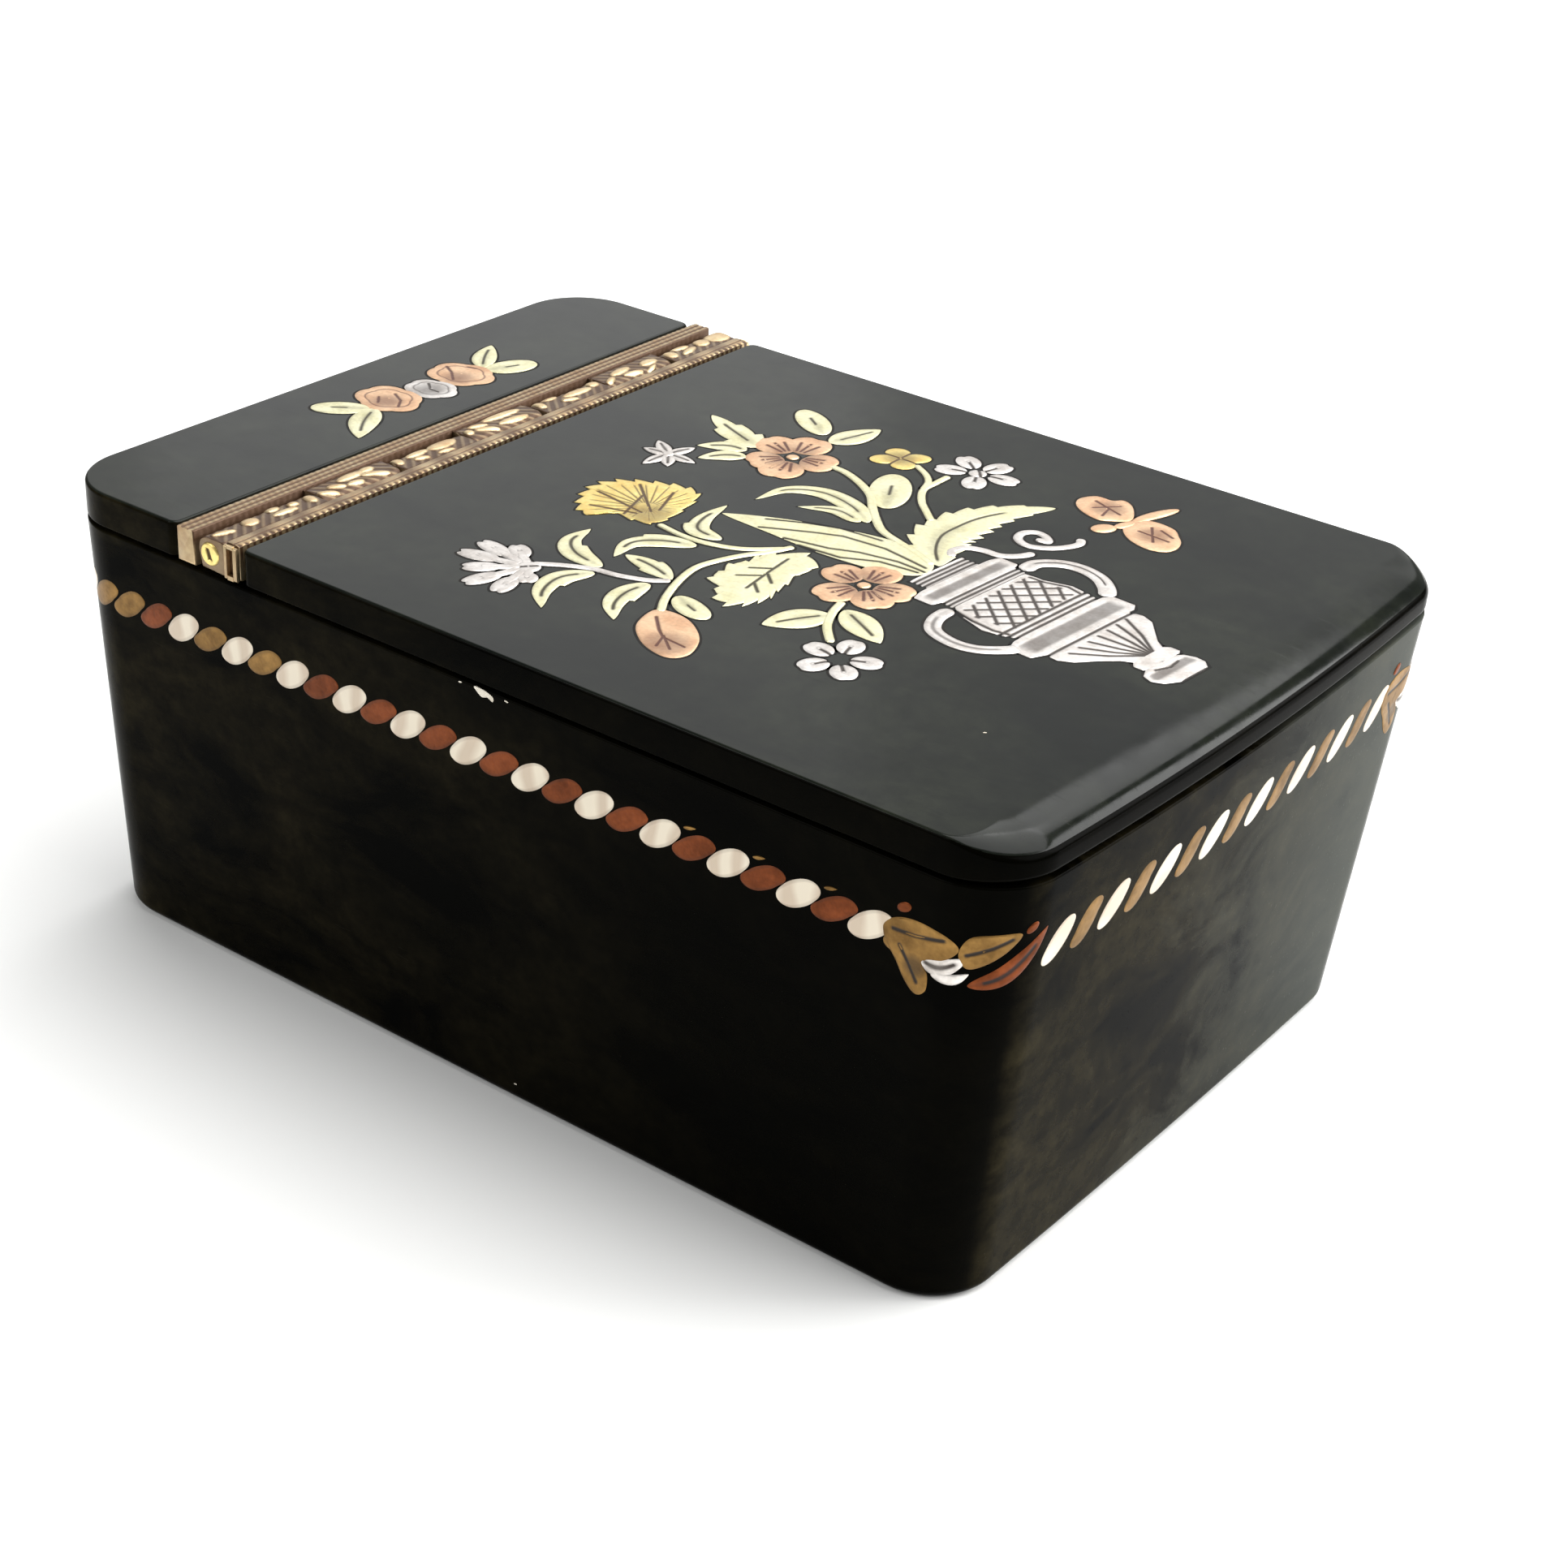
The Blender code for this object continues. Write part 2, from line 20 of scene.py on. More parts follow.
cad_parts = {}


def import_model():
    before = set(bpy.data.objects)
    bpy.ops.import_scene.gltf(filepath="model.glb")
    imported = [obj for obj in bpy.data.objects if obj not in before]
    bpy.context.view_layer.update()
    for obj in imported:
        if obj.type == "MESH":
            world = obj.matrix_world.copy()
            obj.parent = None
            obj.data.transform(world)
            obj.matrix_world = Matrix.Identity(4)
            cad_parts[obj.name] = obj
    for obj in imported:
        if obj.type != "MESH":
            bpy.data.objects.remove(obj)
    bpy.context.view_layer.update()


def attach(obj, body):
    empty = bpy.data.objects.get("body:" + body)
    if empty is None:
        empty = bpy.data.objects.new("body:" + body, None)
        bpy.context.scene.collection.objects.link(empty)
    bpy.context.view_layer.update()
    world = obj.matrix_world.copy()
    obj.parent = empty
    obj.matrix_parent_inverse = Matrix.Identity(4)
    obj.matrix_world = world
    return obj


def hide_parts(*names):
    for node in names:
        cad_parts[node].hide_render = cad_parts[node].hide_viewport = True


Array = np.ndarray
Point = tuple[float, float]
Line = tuple[Point, ...]
Triple = tuple[float, float, float]

MM = 0.001
LOG = logging.getLogger("snuff_box")
ENGRAVING_AND_LIT_FACE = "engraving_and_lit_face"

# How far an inlaid piece's edge stands above the shell, how deep its side goes, how far the
# mastic stands above the shell, and how wide it shows round a piece, in millimetres. The
# mastic's dark line is partly the joint and partly painted shadow in the gap round each piece.
PROUD = 0.02
SUNK = 0.12
BED = 0.008
BED_WIDTH = 0.2

# Upward part of the normal of the steepest face that still counts as a plate's top
STEEPEST_TOP = 0.72

# Half width of an engraved line, how deep a full cut goes, and a distance out of its reach
CUT = 0.15
CUT_DEPTH = 0.05
FAR = 9.0


# Small helpers


def linear(code: str) -> tuple[float, float, float, float]:
    """Turns an sRGB hex code into a linear colour with full alpha.

    Args:
        code: a colour such as "#1A2B3C".

    Returns:
        Linear red, green, blue and an alpha of one.
    """
    parts = [int(code[at:at + 2], 16) / 255.0 for at in (1, 3, 5)]
    red, green, blue = (
        part / 12.92 if part <= 0.04045 else ((part + 0.055) / 1.055) ** 2.4 for part in parts
    )
    return red, green, blue, 1.0


def smooth_step(t: Array) -> Array:
    """Rises from 0 to 1 with level ends."""
    t = np.clip(t, 0.0, 1.0)
    return t * t * (3.0 - 2.0 * t)


def mix(low: Any, high: Any, t: Any) -> Any:
    """Goes from low to high as t goes from 0 to 1."""
    return low + (high - low) * t


def window(u: Array, start: float, end: float, blur: float = 0.06) -> Array:
    """One between start and end, and nothing outside, with blurred edges."""
    return smooth_step((u - start) / blur + 0.5) * smooth_step((end - u) / blur + 0.5)


def between(start: Point, end: Point, share: float) -> Point:
    """The point a share of the way from one to another."""
    return mix(start[0], end[0], share), mix(start[1], end[1], share)


def polar(hub: Point, turn: float, reach: float) -> Point:
    """The point at a reach from a hub, at a turn in degrees."""
    return (hub[0] + reach * math.cos(math.radians(turn)),
            hub[1] + reach * math.sin(math.radians(turn)))


def bearing(hub: Point, point: Point) -> float:
    """The turn in degrees at which a point lies from a hub."""
    return math.degrees(math.atan2(point[1] - hub[1], point[0] - hub[0]))


def through(a: Array, b: Array, c: Array, d: Array, t: Array) -> Array:
    """The Catmull-Rom cubic from b to c, whose slope at each is half the step past it."""
    return 0.5 * (2 * b + (c - a) * t + (2 * a - 5 * b + 4 * c - d) * t ** 2
                  + (3 * b - a - 3 * c + d) * t ** 3)


def spread(points: Sequence[Point], u: Array) -> tuple[Array, Array]:
    """Places and directions along a smooth curve through points.

    Each stretch is a Catmull-Rom cubic, and the direction is its slope.

    Args:
        points: two or more points that the curve passes through.
        u: parameters from 0 to 1.

    Returns:
        Places and unit directions, each with one row for each parameter.
    """
    given = np.asarray(points, float)
    ends = np.vstack([2 * given[0] - given[1], given, 2 * given[-1] - given[-2]])
    count = len(given) - 1
    index = np.minimum((u * count).astype(int), count - 1)
    t = (u * count - index)[:, None]
    a, b, c, d = (ends[index + step] for step in range(4))
    slope = 0.5 * ((c - a) + 2 * (2 * a - 5 * b + 4 * c - d) * t
                   + 3 * (3 * b - a - 3 * c + d) * t ** 2)
    size = np.maximum(np.linalg.norm(slope, axis=1, keepdims=True), 1e-9)
    return through(a, b, c, d, t), slope / size


def engraved(places: Array, lines: Sequence[Line]) -> Array:
    """How deeply some lines engrave each place, from 0 to 1.

    It is a bell curve of the distance to the nearest point of the nearest straight stretch.

    Args:
        places: an array whose last axis is (x, y).
        lines: runs of points.

    Returns:
        Depths with the shape of places without its last axis.
    """
    least = np.full(places.shape[:-1], FAR)
    for line in lines:
        for start, end in zip(line, line[1:]):
            start, step = np.asarray(start), np.subtract(end, start)
            t = np.clip((places - start) @ step / max(float(step @ step), 1e-9), 0.0, 1.0)
            least = np.minimum(least, np.linalg.norm(places - start - t[..., None] * step, axis=-1))
    return np.exp(-(least / CUT) ** 2)


# Meshes


@dataclass(frozen=True)
class Shell:
    """A closed surface: rings of points with a pole or a flat cap at each end.

    Attributes:
        rings: points in millimetres, as rings by points by three.
        first: the pole before the first ring, or None for a flat cap.
        last: the pole after the last ring, or None for a flat cap.
        shade: how deeply each ring point is engraved, from 0 to 1; on the body, the mask of painted light.
    """

    rings: Array
    first: Optional[Array] = None
    last: Optional[Array] = None
    shade: Optional[Array] = None

    def parts(self) -> tuple[Array, list[tuple[int, ...]], Array]:
        """Points, faces and shades, with the faces turned outwards.

        The sum of each triangle's corner determinants is six times the volume, and where it is
        negative every face is turned over.

        Returns:
            Points, faces as tuples of indices, and one shade for each point.
        """
        rows, columns, _ = self.rings.shape
        placed = self.rings.reshape(-1, 3)
        shade = np.zeros((rows, columns)) if self.shade is None else self.shade
        points, shades = [placed], [shade.ravel()]
        i = np.arange(columns)
        j = (i + 1) % columns
        base = np.arange(rows - 1)[:, None] * columns
        quads = np.stack([base + i, base + j, base + columns + j, base + columns + i], -1)
        faces: list[tuple[int, ...]] = [tuple(quad) for quad in quads.reshape(-1, 4).tolist()]
        a, b, c, d = (placed[quads[..., corner].ravel()] for corner in range(4))
        volume = float((a * np.cross(b, c)).sum() + (a * np.cross(c, d)).sum())
        count = rows * columns
        for pole, start, sign in ((self.first, 0, -1), (self.last, (rows - 1) * columns, 1)):
            hub = placed[start] if pole is None else np.asarray(pole, float)
            volume += sign * float((np.cross(placed[start + i], placed[start + j]) @ hub).sum())
            ring = (start + i).tolist()
            if pole is None:
                faces.append(tuple(ring[::sign]))
                continue
            points.append(hub[None])
            shades.append(np.zeros(1))
            faces += [(*pair[::sign], count) for pair in zip(ring, (start + j).tolist())]
            count += 1
        if volume < 0:
            faces = [face[::-1] for face in faces]
        return np.concatenate(points), faces, np.concatenate(shades)


def make_piece(name: str, shells: Sequence[Shell], finish: Finish, body: str, slot: str,
               replaced: Sequence[str] = (), sharp: float = 40.0,
               rim: Optional[Finish] = None) -> Object:
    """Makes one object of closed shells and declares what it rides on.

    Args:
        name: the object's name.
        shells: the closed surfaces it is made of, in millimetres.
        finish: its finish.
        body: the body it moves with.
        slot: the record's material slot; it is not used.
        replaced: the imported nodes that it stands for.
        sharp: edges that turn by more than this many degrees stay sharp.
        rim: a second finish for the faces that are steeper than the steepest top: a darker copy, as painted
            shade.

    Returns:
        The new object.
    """
    points: list[Array] = []
    faces: list[tuple[int, ...]] = []
    shades: list[Array] = []
    count = 0
    for shell in shells:
        placed, around, shade = shell.parts()
        points.append(placed)
        faces += [tuple(index + count for index in face) for face in around]
        shades.append(shade)
        count += len(placed)
    mesh = bpy.data.meshes.new(name)
    mesh.from_pydata((np.concatenate(points) * MM).tolist(), [], faces)
    mesh.attributes.new(ENGRAVING_AND_LIT_FACE, "FLOAT", "POINT")
    mesh.attributes[ENGRAVING_AND_LIT_FACE].data.foreach_set("value", np.concatenate(shades).astype(np.float32))
    mesh.shade_smooth()
    mesh.set_sharp_from_angle(angle=math.radians(sharp))
    mesh.materials.append(finish.material)
    made = bpy.data.objects.new(name, mesh)
    bpy.context.scene.collection.objects.link(made)
    # Painted shade: the steep faces take a darker, duller copy of the finish.
    if rim is not None:
        mesh.materials.append(rim.material)
        normals = np.empty(3 * len(mesh.polygons), np.float32)
        mesh.polygons.foreach_get("normal", normals)
        steep = (normals.reshape(-1, 3)[:, 2] < STEEPEST_TOP).astype(np.int32)
        mesh.polygons.foreach_set("material_index", steep)
    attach(made, body)
    if replaced:
        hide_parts(*replaced)
    LOG.info("%s: %d faces", name, len(mesh.polygons))
    return made


# Grounds that inlay is let into


class Ground:
    """A surface that inlay is let into."""

    def place(self, flat: Array, height: Array) -> Array:
        """Points that stand a height out of the surface over a flat place."""
        raise NotImplementedError


class PlateGround(Ground):
    """The level top of a plate."""

    def __init__(self, top: float) -> None:
        """Keeps the height of the plate's top."""
        self.top = top

    def place(self, flat: Array, height: Array) -> Array:
        """Points over the plate: the flat place, with the height added to the plate's top."""
        return np.concatenate([flat, (self.top + height)[..., None]], -1)


class MasticAndShadowBed(PlateGround):
    """The dark mastic that fills the cut round each inlaid piece, almost level with the plate; its dark line
    is also painted shadow of that gap.
    """

    def place(self, flat: Array, height: Array) -> Array:
        """Points as the plate's ground gives them, but never more than a hair above its top."""
        return super().place(flat, np.minimum(height, BED))


class WallGround(Ground):
    """The wall of the body, unrolled from the middle of its near long side."""

    def __init__(self, body: "Body") -> None:
        """Measures round the wall at two heights.

        Args:
            body: the box body whose wall it is.
        """
        self.body_height = body.height
        self.top = body.outline(body.height)
        self.foot = body.outline(0.0)
        step = np.linalg.norm(np.diff(self.top[:, :2], axis=0, append=self.top[:1, :2]), axis=1)
        run = np.concatenate([[0.0], np.cumsum(step)])
        self.length = float(run[-1])
        near = int(np.argmin(np.abs(self.top[:, 0]) + 1e3 * (self.top[:, 1] > 0)))
        self.run = np.concatenate([run[near:-1] - run[near], run[:near + 1] - run[near] + run[-1]])
        order = np.roll(np.arange(len(self.top)), -near)
        self.order = np.append(order, order[0])
        self.start = float(self.top[near, 0])

    def place(self, flat: Array, height: Array) -> Array:
        """Points on the wall.

        The wall is ruled: a point goes from the underside to the seam along a straight line,
        and the height is added along the outline's normal there.

        Args:
            flat: run round the wall and height above the underside, as the last axis.
            height: how far each point stands out of the wall.

        Returns:
            Points in millimetres.
        """
        run = np.mod(flat[..., 0] - self.start, self.length)
        rise = flat[..., 1] / self.body_height
        found = []
        for column in range(4):
            low = np.interp(run, self.run, self.foot[self.order, column])
            high = np.interp(run, self.run, self.top[self.order, column])
            found.append(mix(low, high, rise))
        x, y, nx, ny = found
        size = np.hypot(nx, ny)
        return np.stack([x + nx / size * height, y + ny / size * height, flat[..., 1]], -1)


# Inlaid shapes


class Form(Enum):
    """How the width of a blade changes from its base to its tip."""

    LEAF = "widest before its middle, with a point at each end"
    OVAL = "an ellipse"
    LONG = "wide near its base, with a long point"
    STEM = "even, with round ends"


def form_width(form: Form, u: Array, slender: float) -> Array:
    """Share of the full width along a blade.

    Args:
        form: the kind of blade.
        u: parameters from 0 at the base to 1 at the tip.
        slender: length over width, which sets how short a stem's round ends are.

    Returns:
        Shares from 0 to 1. A leaf is a sine of a power of u, an oval a half circle, a stem is
        level but for a quarter circle at each end.
    """
    if form is Form.LEAF:
        return np.sin(math.pi * u ** 0.82) ** 0.75
    if form is Form.LONG:
        return np.sin(math.pi * u ** 0.62) ** 0.8
    if form is Form.OVAL:
        return np.sqrt(np.maximum(1.0 - (2 * u - 1) ** 2, 0.0))
    end = np.clip(np.minimum(u, 1 - u) * slender * 2, 0.0, 1.0)
    return np.sqrt(np.maximum(1.0 - (1.0 - end) ** 2, 0.0))


@dataclass(frozen=True, kw_only=True)
class Inlay:
    """A thin piece of metal or pearl that is let into a ground.

    Attributes:
        cuts: engraved lines, in the ground's coordinates.
        dome: how far its middle stands above its edge.
    """

    cuts: tuple[Line, ...] = ()
    dome: float = 0.07

    def grown(self, by: float) -> Inlay:
        """The same piece, larger all round."""
        raise NotImplementedError

    def shell(self, ground: Ground, cell: float = 0.12) -> Shell:
        """The piece as a thin closed slab, let into its ground."""
        raise NotImplementedError


@dataclass(frozen=True)
class Blade(Inlay):
    """A leaf, stem or petal of sheet metal, drawn along a spine.

    Attributes:
        spine: points of its middle line, from base to tip.
        width: its full width.
        form: how the width changes.
        teeth: numbers of teeth on its left and right edges.
        tooth: depth of a tooth, as a share of the half width.
        vein: width of the engraved midrib, or nothing.
        vein_span: where the midrib starts and ends, as shares of the length.
        heart: how dark the hatching along its midrib is, towards the base.
        rim: how dark its edges are.
    """

    spine: Line
    width: float
    form: Form = Form.LEAF
    teeth: tuple[int, int] = (0, 0)
    tooth: float = 0.35
    vein: float = 0.17
    vein_span: Point = (0.14, 0.8)
    heart: float = 0.34
    rim: float = 0.0

    def grown(self, by: float) -> Blade:
        """The same blade, larger all round, with its ends drawn on by as much."""
        first, second = self.spine[:2]
        fourth, last = self.spine[-2:]
        spine = (between(second, first, 1 + by / math.dist(first, second)), *self.spine[1:-1],
                 between(fourth, last, 1 + by / math.dist(fourth, last)))
        return replace(self, spine=spine, width=self.width + 2 * by)

    def shell(self, ground: Ground, cell: float = 0.11) -> Shell:
        """The blade as a thin closed slab.

        A point is the spine's place moved along the spine's normal by v times the half width,
        and its height is the dome's arch, the root of one less v to the fourth, less the cuts.
        A tooth is a ramp of the width that falls back at once.

        Args:
            ground: what it is let into.
            cell: size of a mesh cell.

        Returns:
            A closed shell with poles at its base and tip.
        """
        length = sum(math.dist(a, b) for a, b in zip(self.spine, self.spine[1:]))
        rows = max(int(length / cell), 10)
        columns = max(int(self.width / cell), 8)
        u = 0.5 - 0.5 * np.cos(math.pi * (np.arange(rows) + 0.5) / rows)
        u = mix(u, (np.arange(rows) + 0.5) / rows, 0.6)
        v = np.linspace(-1.0, 1.0, columns)
        place, way = spread(self.spine, u)
        normal = np.stack([-way[:, 1], way[:, 0]], -1)
        share = form_width(self.form, u, length / self.width)
        left, right = (
            share * (1 - self.tooth * (1 - np.mod(u * count, 1.0)) if count else share / share)
            for count in self.teeth
        )
        half = self.width / 2 * np.where(v[None] > 0, left[:, None], right[:, None])
        flat = place[:, None] + normal[:, None] * (half * v[None])[..., None]
        shade = engraved(flat, self.cuts)
        if self.vein:
            rib = np.exp(-(v[None] * half / self.vein) ** 2) * window(u, *self.vein_span)[:, None]
            shade = np.maximum(shade, 0.9 * rib)
            core = np.exp(-(v / 0.45) ** 2)[None] * window(u, 0.0, 0.6, 0.4)[:, None]
            shade = np.maximum(shade, self.heart * core)
        if self.rim:
            shade = np.maximum(shade, self.rim * smooth_step((np.abs(v) - 0.6) / 0.3)[None])
        arch = np.sqrt(np.maximum(1 - np.abs(v[None]) ** 4, 0.0)) * share[:, None]
        height = PROUD + self.dome * arch - CUT_DEPTH * shade
        under = np.full((rows, 1), -SUNK)
        flat = np.concatenate([flat[:, :1], flat, flat[:, -1:]], 1)
        height = np.concatenate([under, height, under], 1)
        shade = np.pad(shade, ((0, 0), (1, 1)))
        ends, _ = spread(self.spine, np.array([0.0, 1.0]))
        poles = ground.place(ends, np.array([0.0, 0.0]))
        return Shell(ground.place(flat, height), poles[0], poles[1], shade)


@dataclass(frozen=True)
class Disc(Inlay):
    """A round, lobed or scalloped piece, drawn about a middle.

    Attributes:
        middle: its centre.
        radii: half its size along and across its own axis.
        angle: turn of that axis in degrees.
        lobes: number of lobes round its edge.
        depth: how deep the notches between them are, as a share of the radius.
        ring: radius share of an engraved ring, or nothing.
        notch: depth of the notch in its tip, as a share of the radius.
        shadow: a place round which it is hatched darker.
        reach: how far the hatching spreads.
    """

    middle: Point
    radii: tuple[float, float]
    angle: float = 0.0
    lobes: int = 0
    depth: float = 0.0
    ring: float = 0.0
    notch: float = 0.0
    shadow: Optional[Point] = None
    reach: float = 1.5

    def grown(self, by: float) -> Disc:
        """The same disc, larger all round."""
        return replace(self, radii=(self.radii[0] + by, self.radii[1] + by))

    def shell(self, ground: Ground, cell: float = 0.12) -> Shell:
        """The disc as a thin closed slab.

        A point lies at a share of the edge's radius about the middle, where the edge is an
        ellipse with a rounded notch between each two lobes. Its height is the dome's arch, the
        root of one less the share to the fourth, less the cuts.

        Args:
            ground: what it is let into.
            cell: size of a mesh cell.

        Returns:
            A closed shell with a pole above and below.
        """
        rows = max(int(min(self.radii) / cell), 6)
        columns = max(int(2 * math.pi * max(self.radii) / cell), 24)
        share = np.append((np.arange(rows) + 1.0) / rows, 1.0)[:, None]
        around = np.linspace(0, 2 * math.pi, columns, endpoint=False)[None]
        notch = np.abs(np.cos(around * self.lobes / 2)) if self.lobes else 1.0
        edge = 1 - self.depth * (1 - notch)
        if self.notch:
            tip = np.minimum(around, 2 * math.pi - around)
            edge = edge * (1 - self.notch * np.exp(-(tip / 0.32) ** 2))
        along = self.radii[0] * share * edge * np.cos(around)
        across = self.radii[1] * share * edge * np.sin(around)
        turn = math.radians(self.angle)
        x = along * math.cos(turn) - across * math.sin(turn)
        y = along * math.sin(turn) + across * math.cos(turn)
        flat = np.stack([self.middle[0] + x, self.middle[1] + y], -1)
        shade = engraved(flat, self.cuts)
        if self.shadow:
            far = np.linalg.norm(flat - np.array(self.shadow), axis=-1)
            shade = np.maximum(shade, 0.55 * np.exp(-(far / self.reach) ** 3))
        if self.ring:
            shade = np.maximum(shade, 0.7 * np.exp(-((share - self.ring) * self.radii[1] / 0.1) ** 2))
        height = PROUD + self.dome * np.sqrt(np.maximum(1 - share ** 4, 0.0)) - CUT_DEPTH * shade
        height = np.broadcast_to(height, x.shape).copy()
        height[-1] = -SUNK
        shade = np.broadcast_to(shade, x.shape).copy()
        shade[-1] = 0.0
        middle = np.array([self.middle, self.middle])
        poles = ground.place(middle, np.array([PROUD + self.dome, -SUNK]))
        return Shell(ground.place(flat, height), poles[0], poles[1], shade)


@dataclass(frozen=True)
class Slab(Inlay):
    """A flat band whose two edges run freely, drawn along an axis.

    Attributes:
        origin: where its axis starts.
        angle: turn of the axis in degrees.
        stations: (distance along the axis, lower edge, upper edge), in order.
        bands: engraved cross lines, as distances along the axis.
        shaded: a stretch along the axis that is hatched darker.
    """

    origin: Point
    angle: float
    stations: tuple[Triple, ...]
    bands: tuple[float, ...] = ()
    shaded: tuple[float, float] = (0.0, 0.0)
    dome: float = field(default=0.06, kw_only=True)

    def grown(self, by: float) -> Slab:
        """The same band, larger all round."""
        rows = [(s, low - by, high + by) for s, low, high in self.stations]
        rows[0] = (rows[0][0] - by, *rows[0][1:])
        rows[-1] = (rows[-1][0] + by, *rows[-1][1:])
        return replace(self, stations=tuple(rows))

    def shell(self, ground: Ground, cell: float = 0.1) -> Shell:
        """The band as a thin closed slab.

        A point is at s along the axis and at a mix of the two edges' distances by v, where each
        edge runs straight from station to station. The height is the dome's arch across it,
        less the cuts.

        Args:
            ground: what it is let into.
            cell: size of a mesh cell.

        Returns:
            A closed shell with a pole at each end.
        """
        given = np.array(self.stations)
        rows = max(int((given[-1, 0] - given[0, 0]) / cell), 6)
        s = np.linspace(given[0, 0], given[-1, 0], rows)
        low = np.interp(s, given[:, 0], given[:, 1])[:, None]
        high = np.interp(s, given[:, 0], given[:, 2])[:, None]
        v = np.linspace(0.0, 1.0, max(int(np.ptp(given[:, 1:]) / cell), 8))[None]
        across = mix(low, high, v)
        turn = math.radians(self.angle)
        along = np.broadcast_to(s[:, None], across.shape)
        flat = np.stack([self.origin[0] + along * math.cos(turn) - across * math.sin(turn),
                         self.origin[1] + along * math.sin(turn) + across * math.cos(turn)], -1)
        shade = engraved(flat, self.cuts)
        for band in self.bands:
            shade = np.maximum(shade, np.exp(-((along - band) / 0.16) ** 2))
        if self.shaded[1] > self.shaded[0]:
            hatch = window(s, *self.shaded, 0.4)[:, None] * window(v, 0.06, 0.94, 0.1)
            shade = np.maximum(shade, 0.56 * hatch)
        arch = np.sqrt(np.maximum(1 - np.abs(2 * v - 1) ** 6, 0.0)) * np.ones_like(across)
        height = PROUD + self.dome * arch - CUT_DEPTH * shade
        under = np.full((rows, 1), -SUNK)
        flat = np.concatenate([flat[:, :1], flat, flat[:, -1:]], 1)
        height = np.concatenate([under, height, under], 1)
        shade = np.pad(shade, ((0, 0), (1, 1)))
        ends = flat[[0, -1]].mean(1)
        poles = ground.place(ends, np.array([-SUNK / 2, -SUNK / 2]))
        return Shell(ground.place(flat, height), poles[0], poles[1], shade)


@dataclass(frozen=True)
class Cutout(Inlay):
    """A piece sawn to a free outline, every point of which its hub can see.

    Attributes:
        hub: a point inside it, from which it is drawn.
        outline: its corners in order.
        rays: number of fine rays engraved from the hub.
        teeth: depth of a tooth on each outline step, as a share of its distance from the hub.
        shadow: a place round which it is hatched darker.
        reach: how far the hatching spreads.
    """

    hub: Point
    outline: Line
    rays: int = 0
    teeth: float = 0.0
    shadow: Optional[Point] = None
    reach: float = 1.5

    def grown(self, by: float) -> Cutout:
        """The same piece, larger all round."""
        outline = tuple(between(self.hub, corner, 1 + by / math.dist(self.hub, corner))
                        for corner in self.outline)
        return replace(self, outline=outline)

    def shell(self, ground: Ground, cell: float = 0.12) -> Shell:
        """The cutout as a thin closed slab.

        The edge is a smooth closed curve through the corners, and a point lies at a share of
        the way from the hub to it. A tooth is a ramp of the distance that falls back at once.

        Args:
            ground: what it is let into.
            cell: size of a mesh cell.

        Returns:
            A closed shell with a pole above and below.
        """
        loop = np.array([self.outline[-1], *self.outline, *self.outline[:2]])
        size = float(np.linalg.norm(np.ptp(loop, axis=0))) / 2
        each = max(int(5 * size / len(self.outline) / cell), 4)
        t = (np.arange(each) / each)[None, :, None]
        a, b, c, d = (loop[step:len(loop) - 3 + step, None] for step in range(4))
        edge = through(a, b, c, d, t).reshape(-1, 2)
        hub = np.array(self.hub)
        if self.teeth:
            ramp_down = np.tile(np.arange(each) / each, len(self.outline))
            edge = hub + (edge - hub) * (1 - self.teeth * ramp_down)[:, None]
        rows = max(int(size / cell), 6)
        share = np.append((np.arange(rows) + 1.0) / rows, 1.0)[:, None]
        flat = hub + (edge[None] - hub) * share[..., None]
        shade = engraved(flat, self.cuts)
        if self.shadow:
            far = np.linalg.norm(flat - np.array(self.shadow), axis=-1)
            shade = np.maximum(shade, 0.5 * np.exp(-(far / self.reach) ** 4))
        if self.rays:
            angle = np.arctan2(edge[:, 1] - hub[1], edge[:, 0] - hub[0])[None]
            wave = np.abs(np.sin(angle * self.rays / 2))
            fine = np.exp(-(wave * 2 * share * size / self.rays / 0.1) ** 2)
            shade = np.maximum(shade, 0.7 * fine * window(share, 0.15, 0.85, 0.1))
        height = PROUD + self.dome * np.sqrt(np.maximum(1 - share ** 6, 0.0)) - CUT_DEPTH * shade
        height[-1] = -SUNK
        shade[-1] = 0.0
        poles = ground.place(np.array([hub, hub]), np.array([PROUD + self.dome, -SUNK]))
        return Shell(ground.place(flat, height), poles[0], poles[1], shade)


def stem(width: float, *spine: Point) -> Blade:
    """An even strip with round ends and no midrib."""
    return Blade(spine, width, Form.STEM, vein=0.0)


def lay_bed(name: str, shapes: Sequence[Inlay], plate: PlateGround, body: str) -> Object:
    """Makes the dark line round some inlaid shapes: the mastic joint, with painted shadow of the gap.

    Args:
        name: the object's name.
        shapes: the shapes that lie in it.
        plate: the plate that they are let into.
        body: the body it moves with.

    Returns:
        The bed's object.
    """
    ground = MasticAndShadowBed(plate.top)
    shells = [shape.grown(BED_WIDTH).shell(ground, 0.25) for shape in shapes]
    return make_piece(name, shells, Finish.MASTIC_AND_SHADOW, body, "tortoiseshell")


# Finishes


def fill_sockets(tree: NodeTree, node: Node, *values: Any, **named: Any) -> None:
    """Sets or links a node's inputs.

    Args:
        tree: the material's node tree.
        node: the node.
        *values: what its inputs in use get, in order. A node stands for its first output in
            use, an output is linked, and anything else is the input's own value.
        **named: the same by the input's name, with underscores for spaces.
    """
    pairs = list(zip((socket for socket in node.inputs if socket.enabled), values))
    pairs += [(node.inputs[name.replace("_", " ")], value) for name, value in named.items()]
    for socket, value in pairs:
        if isinstance(value, Node):
            value = next(output for output in value.outputs if output.enabled)
        if isinstance(value, NodeSocket):
            tree.links.new(value, socket)
        else:
            socket.default_value = value


